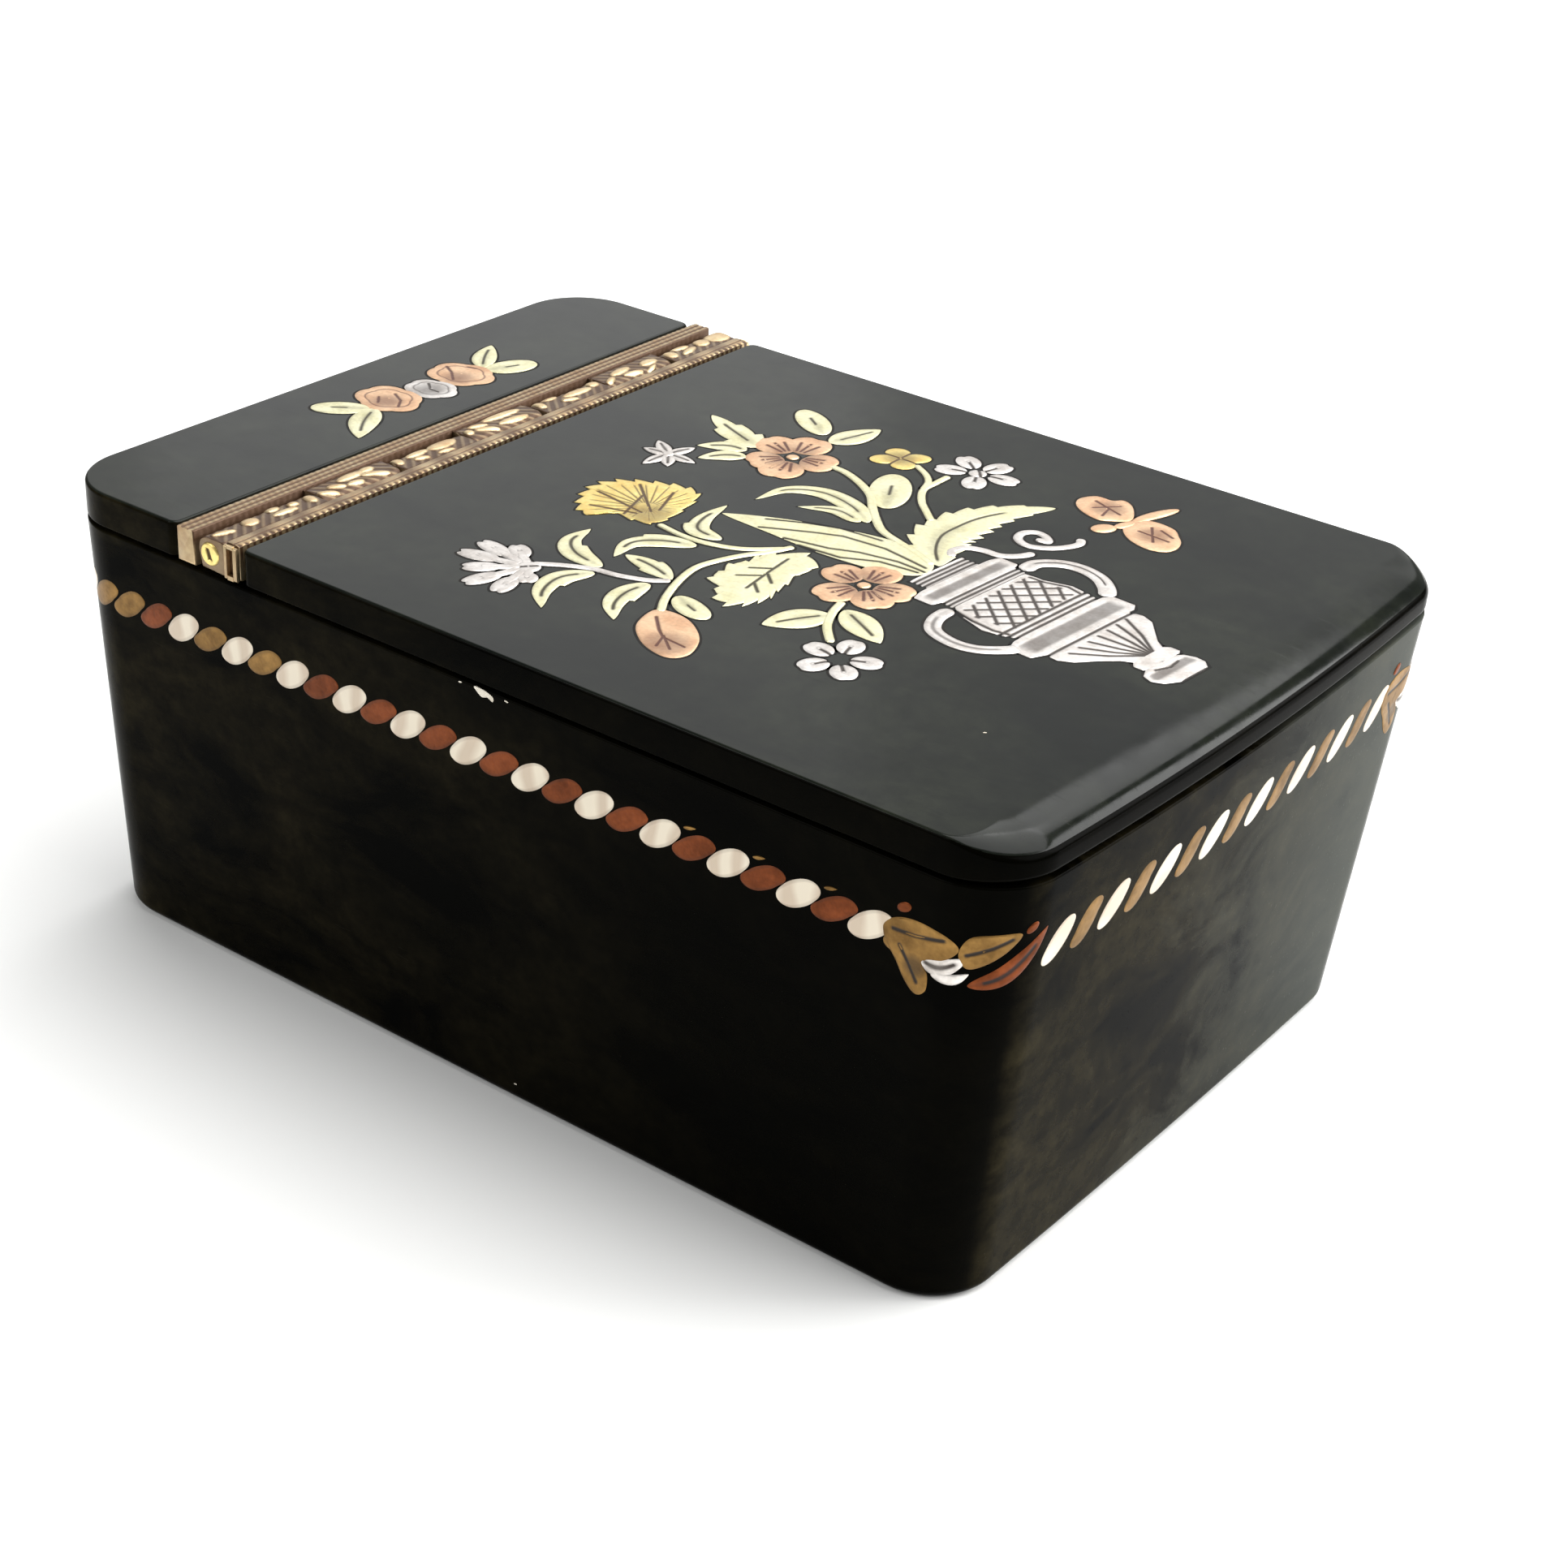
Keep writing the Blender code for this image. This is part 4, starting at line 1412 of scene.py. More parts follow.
        def profile(y: Array) -> tuple[Array, Array]:
            """The knuckle's profile with its relief at each y."""
            share = (y - low) / (high - low)
            relief = np.zeros((len(y), len(run)))
            for at, across, length, width, angle in leaves:
                along = (share - at)[:, None] * (high - low)
                over = side * run[None] - across
                lean = math.radians(angle)
                p = (along * math.cos(lean) + over * math.sin(lean)) / (length / 2)
                q = (over * math.cos(lean) - along * math.sin(lean)) / (width / 2)
                relief = np.maximum(relief, np.sqrt(np.maximum(1 - p * p - q * q, 0.0)))
            ends = window(share, 0.015, 0.985, 0.03)[:, None]
            hatch = 0.5 + 0.5 * np.cos(2 * math.pi * (y[:, None] + 0.9 * run[None]) / 0.9)
            groove = np.exp(-((run - self.radius - self.clearance / 2) / 0.12) ** 2)[None]
            back = smooth_step((-run - 1.15) / 0.5)[None]
            sunk = 0.15 * (1 - relief) + 0.03 * hatch * (relief < 0.05) + 0.1 * groove
            shade = (1 - smooth_step(relief / 0.55)) * (0.42 + 0.22 * hatch)
            shade = np.clip(shade + 0.2 + 0.4 * groove + 0.4 * (1 - ends) + back, 0.0, 1.0)
            x = self.pin_x + side * (flat[None] - sunk * lift[None])
            z = self.pin_z + rise[None] - sunk * stand[None]
            under = np.array([[self.pin_x + side * room, self.low],
                              [self.pin_x - side * 0.9, self.low + 0.12]])
            under = np.broadcast_to(under, (len(y), 2, 2))
            points = np.concatenate([np.stack([x, z], -1), under], 1)
            return points, np.pad(shade, ((0, 0), (0, 2)), constant_values=0.6)

        return self.carried(profile, low, high, cap=0.62)

    def end_face(self, side: float) -> list[Shell]:
        """The front bar's end: a raised frame round a sunk groove.

        Args:
            side: -1 for the near end and 1 for the far one.

        Returns:
            Four bars and the sunk panel's back.
        """
        y0, y1 = sorted((side * self.half, side * (self.half - self.groove_depth)))
        right = self.front - self.frame
        left = right - self.groove_width
        low, high = self.low + self.frame, self.top - self.frame
        boxes = ((self.bar_rear, left, self.low, self.top - 0.12),
                 (right, self.front, self.low, self.top - 0.15),
                 (left, right, self.low, low), (left, right, high, self.top - 0.12))
        shells = []
        for x0, x1, z0, z1 in boxes:
            corners = np.array([[x0, z0], [x1, z0], [x1, z1], [x0, z1]])

            def square(y: Array, corners: Array = corners) -> tuple[Array, Array]:
                """The same rectangle at each y."""
                return (np.broadcast_to(corners, (len(y), 4, 2)).copy(),
                        np.full((len(y), 4), 0.1))

            shells.append(self.carried(square, y0, y1, 0.1))
        return shells

    def boss(self, side: float) -> Shell:
        """A pin end: a disc with a round edge and a small wedge cut in it.

        Rings run in from the edge, and the wedge is a dark stretch of the face.

        Args:
            side: -1 for the near end and 1 for the far one.

        Returns:
            The boss as a shell.
        """
        around = np.linspace(0, 2 * math.pi, 48, endpoint=False)
        out = side * self.half
        rows = [(self.boss_radius, out - side * self.boss_depth), (self.boss_radius, out - side * 0.2)]
        rows += [(self.boss_radius - 0.2 * (1 - math.cos(a)), out - side * 0.2 * (1 - math.sin(a)))
                 for a in np.radians(np.linspace(15, 90, 6)).tolist()]
        rows += [(radius, out) for radius in np.linspace(0.66, 0.08, 12).tolist()]
        rings, shades = [], []
        for radius, y in rows:
            x = radius * np.cos(around)
            z = radius * np.sin(around)
            wedge = window(z, -0.42, 0.42, 0.1) * window(x + 0.35 * z, -0.22, 0.16, 0.1)
            wedge = wedge * (radius < 0.7)
            rings.append(np.column_stack([self.pin_x + x, y - side * 0.16 * wedge,
                                          self.pin_z + z]))
            shades.append(wedge)
        hub = np.array([self.pin_x, out - side * 0.16, self.pin_z])
        return Shell(np.stack(rings), None, hub, np.stack(shades))

    def build(self) -> list[Object]:
        """Makes the leaves and the pin.

        Returns:
            The fixed leaf, the lid's leaf and the pin.
        """
        spans = self.spans()
        gold = Finish.STRAP_GOLD
        fixed = [self.carried(self.reeded, -self.half, self.half)]
        fixed += [self.knuckle(*span, index, -1.0) for index, span in enumerate(spans)
                  if index % 2]
        inner = self.half - self.groove_depth
        moving = [self.carried(self.milled, -inner, inner, cap=0.9)]
        moving += self.end_face(-1.0) + self.end_face(1.0)
        moving += [self.knuckle(*span, index, 1.0) for index, span in enumerate(spans)
                   if index % 2 == 0]
        around = np.linspace(0, 2 * math.pi, 32, endpoint=False)
        bar = [np.column_stack([self.pin_x + self.pin_radius * np.cos(around),
                                np.full(32, y), self.pin_z + self.pin_radius * np.sin(around)])
               for y in (-self.half + self.boss_depth, self.half - self.boss_depth)]
        return [
            make_piece("chased_rear_leaf", fixed, gold, "box", "gilt_brass",
                       ("hinge_rear_leaf",), 50.0),
            make_piece("chased_front_leaf", moving, gold, "lid", "gilt_brass",
                       ("hinge_front_leaf",), 50.0),
            make_piece("pin_with_bosses", [Shell(np.stack(bar)), self.boss(-1.0), self.boss(1.0)],
                       Finish.YELLOW_GOLD, "box", "yellow_gold", ("hinge_pin",), 50.0),
        ]


# Sprigs on the knuckles: (share along it, distance round it from the top, length, width, lean)
SPRIGS = (
    ((0.12, 0.1, 2.0, 0.6, 16), (0.37, 0.0, 1.5, 1.3, 0), (0.62, -0.55, 1.3, 1.0, 0),
     (0.66, 0.5, 2.4, 0.7, 4), (0.78, -0.1, 1.0, 0.7, 20), (0.93, 0.1, 0.9, 1.4, 0)),
    ((0.10, 0.3, 1.9, 0.7, 35), (0.26, -0.1, 1.6, 0.7, 30), (0.52, -0.75, 2.8, 0.9, 0),
     (0.46, 0.35, 1.6, 0.7, 10), (0.74, 0.2, 2.5, 0.75, 28), (0.74, -0.8, 1.5, 0.8, 0)),
    ((0.06, -0.2, 1.0, 1.3, 0), (0.34, -0.3, 2.4, 0.9, 0), (0.30, 0.6, 1.4, 0.6, 20),
     (0.68, -0.25, 3.0, 1.5, 0), (0.60, 0.9, 1.6, 0.5, 10)),
    ((0.07, -0.3, 0.9, 0.9, 0), (0.27, 0.2, 2.2, 0.7, 32), (0.62, -0.95, 4.1, 0.9, 4),
     (0.64, 0.3, 3.2, 0.85, 6), (0.25, -0.7, 1.8, 0.6, 20)),
    ((0.08, -0.3, 0.9, 1.7, 0), (0.28, -0.75, 1.7, 0.9, 12), (0.62, 0.05, 3.2, 0.95, 4),
     (0.42, 0.7, 1.6, 0.6, 24), (0.90, -0.3, 1.2, 1.2, 0)),
    ((0.10, 0.3, 1.6, 0.7, -26), (0.36, -0.5, 2.6, 0.9, -6), (0.44, 0.5, 2.2, 0.7, 10),
     (0.78, -0.2, 2.0, 1.1, 0), (0.70, 0.8, 1.6, 0.5, -20)),
    ((0.10, 0.0, 1.2, 1.5, 0), (0.32, -0.5, 2.0, 0.9, 12), (0.34, 0.5, 2.2, 0.7, -12),
     (0.62, 0.0, 1.6, 1.5, 0), (0.90, 0.0, 2.8, 2.2, 0)),
)


@dataclass
class Bouquet:
    """The spray of leaves and flowers that grows out of the vase across the lid."""

    ground: PlateGround

    def leaves(self) -> list[Inlay]:
        """Leaves and stems in green gold, with dark midribs, and teeth on the broad ones."""
        short = (0.36, 0.66)
        return [
            # Leaves of the bell flower's stem
            Blade(((-2.8, -14.0), (-5.6, -13.4), (-7.3, -11.9), (-7.6, -9.5)), 2.5, Form.LONG, (1, 2), 0.3),
            Blade(((-2.5, -15.0), (-3.7, -17.2), (-3.2, -19.6), (-1.5, -21.7)), 2.4, Form.LONG, (2, 1),
                  0.3),
            Blade(((2.1, -12.2), (0.3, -11.6), (-1.2, -11.3), (-2.9, -11.2)), 2.2, Form.LEAF, (2, 2), 0.22),
            Blade(((1.4, -13.8), (1.2, -16.0), (1.8, -18.0), (3.3, -19.8)), 2.5, Form.LONG, (2, 1), 0.3),
            # Leaves of the carnation's stem
            Blade(((-0.2, -6.6), (-2.6, -7.7), (-3.9, -9.4), (-3.3, -12.0)), 2.5, Form.LONG, (1, 2), 0.3),
            Blade(((0.4, -4.6), (-1.9, -4.3), (-2.9, -2.4), (-3.1, 0.6)), 2.2, Form.LONG, (2, 1), 0.3),
            stem(0.6, (-4.6, -5.5), (-2.0, -5.9), (0.2, -5.7), (2.6, -4.7), (5.0, -2.4)),
            Blade(((4.1, -14.0), (6.0, -14.9), (7.9, -15.5)), 2.1, Form.OVAL, vein=0.15, vein_span=short),
            stem(0.62, (4.9, -16.8), (3.7, -14.8), (2.6, -12.0), (2.1, -9.5), (2.5, -7.5), (3.3, -5.5),
                 (4.2, -4.0), (5.0, -2.0)),
            # The toothed leaf and the long blades in the middle
            Cutout((6.3, -7.0),
                   ((6.5, -2.0), (4.6, -3.6), (3.9, -4.8), (3.9, -6.2), (3.3, -7.4), (3.6, -8.9),
                    (3.7, -10.3), (5.2, -11.4), (6.0, -12.6), (7.4, -13.2), (8.4, -12.3), (8.9, -11.2),
                    (9.1, -10.0), (8.8, -8.8), (8.6, -7.4), (8.2, -5.6), (8.4, -3.6)),
                   cuts=(((6.0, -4.0), (6.3, -6.5), (6.8, -9.8)), ((6.2, -6.0), (4.9, -7.0)),
                         ((6.4, -7.4), (5.0, -8.6)), ((6.5, -7.0), (7.6, -8.0)),
                         ((6.7, -8.8), (7.8, -9.8))), teeth=0.13),
            Blade(((14.6, 0.9), (11.0, 1.3), (6.5, 0.8), (2.0, 0.2), (-2.5, -0.8)), 5.2, Form.LONG, vein=0.0,
                  cuts=(((1.0, -0.9), (4.5, 1.0), (6.5, 1.9), (10.0, 2.2), (14.0, 1.5)),
                        ((3.5, -1.2), (7.0, -0.5), (9.0, 0.4), (12.0, 1.0), (14.3, 0.9)),
                        ((0.5, 0.6), (3.0, 2.0), (5.5, 3.0), (9.0, 3.2)),
                        ((5.0, -1.5), (8.5, -1.2), (11.0, 0.1), (14.0, 0.5)))),
            # Leaves under the rose-gold flower
            stem(0.65, (13.0, -7.0), (13.5, -8.8), (14.5, -10.8), (16.2, -12.7)),
            Blade(((13.6, -9.2), (12.3, -11.4), (11.1, -13.6)), 2.9),
            Blade(((13.9, -7.9), (16.3, -9.2), (18.7, -10.5)), 2.6),
            # Leaves round the upper rose-gold flower
            Blade(((-8.4, 11.0), (-11.5, 12.2), (-15.1, 13.8)), 3.5, Form.LONG, (3, 3), 0.34, 0.17,
                  (0.2, 0.75)),
            Blade(((-8.6, 9.9), (-10.2, 9.6), (-12.0, 8.1)), 1.9),
            Blade(((-7.8, 8.9), (-9.2, 8.0), (-10.4, 6.2)), 1.9),
            Blade(((-6.2, 16.6), (-8.4, 18.2), (-10.6, 19.7)), 2.5, Form.OVAL, vein=0.17, vein_span=short),
            Blade(((-4.9, 15.6), (-4.2, 18.0), (-3.6, 20.6)), 2.6, vein=0.15, vein_span=(0.2, 0.85)),
            Blade(((5.7, 8.2), (4.1, 11.1), (2.5, 14.0)), 3.2, Form.OVAL, vein=0.17, vein_span=short),
            # The long hooked leaf and its spur
            Blade(((6.3, 5.2), (3.6, 6.8), (0.6, 7.3), (-1.7, 5.9), (-2.3, 2.9)), 2.1, Form.LONG, (1, 0),
                  0.2, 0.14),
            Blade(((5.8, 4.9), (3.3, 5.4), (0.8, 4.0)), 1.5, Form.LONG, vein=0.13),
            # The toothed leaf beside the vase
            Blade(((14.5, 2.5), (12.8, 4.5), (11.7, 6.8), (11.6, 9.0), (11.9, 11.5), (13.0, 14.2),
                   (15.0, 17.0)), 5.2, Form.LEAF, (10, 10), 0.26, 0.17, (0.05, 0.8)),
            # Stems of the upper flowers
            stem(0.7, (-2.0, 11.9), (-0.5, 11.7), (1.5, 10.8), (3.5, 9.4), (5.0, 7.6), (6.5, 6.0),
                 (8.0, 4.7), (10.0, 3.9), (12.0, 3.2), (14.0, 2.3)),
            stem(0.55, (2.6, 16.6), (4.2, 15.6), (5.2, 14.5), (5.7, 13.1)),
            stem(0.6, (5.7, 16.5), (5.7, 14.8), (5.8, 13.0), (6.9, 11.2), (8.3, 9.8), (9.6, 8.6)),
        ]

    def petals(self, hub: Point, tips: Sequence[Point], size: tuple[float, float],
               notch: float, share: float = 0.62) -> list[Inlay]:
        """Notched petals about a hub, each engraved with three lines from it.

        Args:
            hub: the flower's middle.
            tips: the point of each petal.
            size: half the length, as a share of the reach, and half the width of a petal.
            notch: depth of the notch in each tip.
            share: where a petal's middle lies between the hub and its tip.

        Returns:
            The petals.
        """
        shapes: list[Inlay] = []
        spread = math.degrees(0.26)
        for tip in tips:
            reach = math.dist(tip, hub)
            turn = bearing(hub, tip)
            lines = tuple((polar(hub, turn + aside, 0.3 * reach), polar(hub, turn + aside, 0.68 * reach))
                          for aside in (-spread, 0.0, spread))
            shapes.append(Disc(between(hub, tip, share), (size[0] * reach, size[1]), turn, cuts=lines,
                               notch=notch, shadow=hub, reach=2.6))
        return shapes

    def silver(self) -> list[Inlay]:
        """The bell flower, the two silver flowers and their stems."""
        calyx = (-6.5, -17.4)
        tips = ((-9.6, -15.2), (-11.9, -16.4), (-11.9, -18.7), (-9.9, -20.5), (-8.0, -22.4),
                (-5.4, -22.0), (-4.9, -19.4))
        shapes: list[Inlay] = []
        for tip in tips:
            near, middle = (between(calyx, tip, share) for share in (0.12, 0.72))
            shapes += [
                stem(0.8, near, middle),
                Disc(middle, (0.27 * math.dist(tip, calyx) + 0.2, 0.8), bearing(calyx, tip), notch=0.22,
                     cuts=((near, middle),)),
            ]
        shapes += [
            Disc((-6.5, -17.4), (0.9, 0.9), cuts=(((-6.9, -17.9), (-6.1, -16.9)),)),
            stem(0.62, (-6.7, -16.8), (-5.0, -15.6), (-3.0, -14.6), (-1.0, -14.2), (1.0, -13.4),
                 (2.2, -12.4)),
        ]
        for hub, size, notch, middles in (
                ((18.1, -14.3), (1.15, 0.95), 0.1,
                 ((17.6, -12.3), (19.8, -13.5), (19.5, -15.7), (17.3, -16.1), (16.2, -14.0))),
                ((7.0, 18.5), (1.3, 0.95), 0.18,
                 ((5.2, 19.9), (7.6, 20.4), (9.2, 18.8), (7.8, 16.8), (5.0, 17.7)))):
            shapes += [Disc(middle, size, bearing(hub, middle), notch=notch, cuts=((hub, middle),))
                       for middle in middles]
        shapes.append(Disc((7.0, 18.5), (0.7, 0.7), cuts=(((6.6, 19.2), (7.6, 18.0)),)))
        return shapes

    def yellow(self) -> list[Inlay]:
        """The carnation, a toothed fan on its calyx, and the small four-petalled flower."""
        cross = (1.0, 16.8)
        calyx = (-6.2, -4.6)
        fan = ((-5.0, -5.9), (-6.5, -6.3), (-8.2, -6.3), (-9.4, -7.8), (-10.6, -7.7),
               (-11.6, -6.7), (-12.4, -5.4), (-12.9, -4.0), (-12.9, -2.6), (-12.3, -1.3),
               (-11.2, -0.3), (-9.9, 0.5), (-8.6, 1.1), (-7.2, 1.4), (-5.9, 1.0), (-5.2, -0.4),
               (-4.8, -2.4), (-4.6, -4.4))
        return [
            Cutout((-7.0, -3.8), fan, 30, 0.11, calyx, 2.0,
                   cuts=(((-10.2, -0.9), (-6.4, -4.2)), ((-11.6, -4.0), (-6.8, -4.8)),
                         ((-7.4, -0.4), (-6.1, -3.6)), ((-10.4, -6.3), (-7.0, -5.2)),
                         ((-8.7, -2.4), (-7.6, -5.8)))),
            Disc(cross, (2.4, 2.1), 45.0, 4, 0.42,
                 cuts=(((-0.7, 16.8), (2.7, 16.8)), ((1.0, 15.2), (1.0, 18.4))), shadow=cross),
        ]

    def rose(self) -> list[Inlay]:
        """The bud and the two five-petalled flowers in rose gold."""
        hub = (12.5, -3.8)
        tips = [polar(hub, turn, reach)
                for turn, reach in ((95, 3.7), (12, 3.7), (-40, 3.8), (-110, 3.9), (165, 3.7))]
        shapes = self.petals(hub, tips, (0.43, 1.55), 0.16)
        shapes.append(Disc(hub, (0.5, 0.5)))
        hub = (-5.2, 11.3)
        tips = [(-5.9, 15.6), (-9.1, 13.1), (-7.1, 8.2), (-3.9, 7.2), (-1.7, 12.0)]
        shapes += self.petals(hub, tips, (0.42, 1.75), 0.16)
        return shapes + [
            Disc(hub, (0.5, 0.5)),
            Cutout((7.3, -19.0),
                   ((4.4, -16.7), (4.6, -18.6), (5.5, -20.1), (7.5, -21.5), (9.6, -21.8),
                    (10.4, -20.5), (9.5, -18.3), (7.6, -16.7), (5.8, -16.2)),
                   cuts=(((5.2, -17.6), (6.6, -19.0), (7.5, -19.7), (8.0, -21.0)),
                         ((7.5, -19.7), (9.5, -19.9)), ((7.4, -19.5), (9.0, -20.8))),
                   shadow=(8.2, -20.3), reach=1.9),
        ]

    def build(self) -> list[Object]:
        """Makes one object of each metal.

        Returns:
            The four objects and their bed.
        """
        made: list[Object] = []
        drawn: list[Inlay] = []
        for name, shapes, finish, slot in (
                ("bouquet_leaves", self.leaves(), Finish.GREEN_GOLD, "green_gold"),
                ("bouquet_silver_flowers", self.silver(), Finish.SILVER, "silver"),
                ("bouquet_yellow_flowers", self.yellow(), Finish.YELLOW_GOLD, "yellow_gold"),
                ("bouquet_rose_flowers", self.rose(), Finish.ROSE_GOLD, "rose_gold")):
            shells = [shape.shell(self.ground) for shape in shapes]
            made.append(make_piece(name, shells, finish, "lid", slot, ("bouquet_inlay",)))
            drawn += shapes
        return made + [lay_bed("bouquet_bed", drawn, self.ground, "lid")]


@dataclass
class SmallOrnaments:
    """The star flower, the tendril, the butterfly and the rose spray."""

    ground: PlateGround

    def star(self) -> list[Inlay]:
        """Six pointed rays about a boss."""
        hub = (-12.5, 5.2)
        rays = ((145, 2.8), (188, 2.2), (266, 2.8), (308, 2.4), (0, 2.6), (74, 2.5))
        shapes: list[Inlay] = [Blade((hub, polar(hub, turn, reach)), 1.15, vein=0.12)
                               for turn, reach in rays]
        return shapes + [Disc(hub, (0.5, 0.5))]

    def tendril(self) -> list[Inlay]:
        """The curl over the vase."""
        return [
            stem(0.7, (17.0, 11.2), (17.9, 11.4), (17.2, 12.1), (16.3, 12.2), (15.7, 11.5), (15.9, 10.5),
                 (16.7, 9.9), (17.6, 9.9), (18.7, 10.6), (19.5, 11.7), (19.8, 12.7), (19.4, 13.5)),
        ]

    def butterfly(self) -> list[Inlay]:
        """Two pairs of wings, a body and a head."""
        return [
            Cutout((17.9, 19.5),
                   ((15.3, 19.9), (15.7, 18.7), (16.9, 17.8), (18.4, 17.4), (19.4, 17.9), (20.3, 18.8),
                    (20.0, 19.9), (19.0, 21.3), (18.0, 21.8), (17.3, 21.2), (16.0, 21.1)),
                   cuts=(((16.5, 20.2), (19.2, 19.2)), ((17.0, 19.0), (18.4, 20.6)),
                         ((18.3, 18.2), (18.0, 19.6))), shadow=(17.9, 19.6)),
            Cutout((23.0, 17.7),
                   ((20.7, 17.2), (22.0, 15.9), (23.8, 15.3), (25.1, 15.7), (25.5, 16.7), (25.2, 17.9),
                    (24.5, 18.8), (23.6, 19.7), (22.2, 20.0), (21.2, 19.7), (20.6, 18.6)),
                   cuts=(((21.8, 17.6), (24.4, 17.4)), ((22.2, 18.8), (23.6, 16.6)),
                         ((23.0, 18.8), (24.3, 18.2))), shadow=(23.0, 17.7)),
            Blade(((20.6, 18.6), (20.9, 20.2), (21.4, 21.8), (21.9, 23.2)), 1.1, Form.OVAL, vein=0.0),
            Disc((19.6, 16.3), (1.0, 0.75), 60.0),
            Blade(((20.1, 17.0), (20.5, 18.0), (20.7, 19.0)), 1.0, Form.OVAL, vein=0.0),
        ]

    def roses(self) -> list[Inlay]:
        """Two small roses with curled petals."""
        return [
            Disc((-35.2, 6.6), (2.9, 2.45), 10.0, 5, 0.1, ring=0.7, shadow=(-34.8, 5.8),
                 cuts=(((-37.2, 7.0), (-36.0, 6.3), (-34.8, 5.2)), ((-35.9, 8.1), (-35.2, 8.3)))),
            Disc((-35.6, -1.3), (3.0, 2.5), -10.0, 5, 0.1, ring=0.7, shadow=(-35.3, -1.9),
                 cuts=(((-35.9, -0.3), (-34.6, -1.0), (-33.9, -2.0)), ((-35.6, -2.5), (-36.4, -1.6)))),
        ]

    def silver_rose(self) -> list[Inlay]:
        """The middle rose of the spray."""
        return [Disc((-34.7, 2.6), (2.3, 1.9), 5.0, 5, 0.1, ring=0.68, shadow=(-34.6, 2.3),
                     cuts=(((-35.6, 3.2), (-34.6, 2.4), (-33.8, 2.4)),))]

    def spray_leaves(self) -> list[Inlay]:
        """Two leaves at each end of the spray."""
        return [
            Blade(((-35.0, 8.8), (-36.6, 10.9), (-38.0, 13.2)), 2.0, vein=0.15),
            Blade(((-34.4, 8.7), (-33.5, 10.7), (-32.7, 12.8)), 2.7, Form.OVAL, vein=0.15,
                  vein_span=(0.36, 0.66)),
            Blade(((-35.2, -3.8), (-37.0, -5.3), (-38.7, -6.8)), 2.5, Form.OVAL, vein=0.15,
                  vein_span=(0.36, 0.66)),
            Blade(((-35.0, -3.5), (-33.6, -6.1), (-31.6, -8.7)), 2.4, vein=0.16),
        ]

    def build(self) -> list[Object]:
        """Makes each ornament.

        Returns:
            The objects.
        """
        plans = (
            ("star_flower", self.star(), Finish.SILVER, "lid", "silver", "star_flower_inlay"),
            ("tendril", self.tendril(), Finish.SILVER, "lid", "silver", "tendril_inlay"),
            ("butterfly", self.butterfly(), Finish.ROSE_GOLD, "lid", "rose_gold",
             "butterfly_inlay"),
            ("spray_roses", self.roses(), Finish.ROSE_GOLD, "box", "rose_gold",
             "rose_spray_inlay"),
            ("spray_silver_rose", self.silver_rose(), Finish.SILVER, "box", "silver",
             "rose_spray_inlay"),
            ("spray_leaves", self.spray_leaves(), Finish.GREEN_GOLD, "box", "green_gold",
             "rose_spray_inlay"),
        )
        made = [make_piece(name, [shape.shell(self.ground) for shape in shapes],
                           finish, body, slot, (node,))
                for name, shapes, finish, body, slot, node in plans]
        for body, name in (("lid", "lid_ornament_bed"), ("box", "rear_spray_bed")):
            drawn = [shape for plan in plans if plan[3] == body for shape in plan[1]]
            made.append(lay_bed(name, drawn, self.ground, body))
        return made


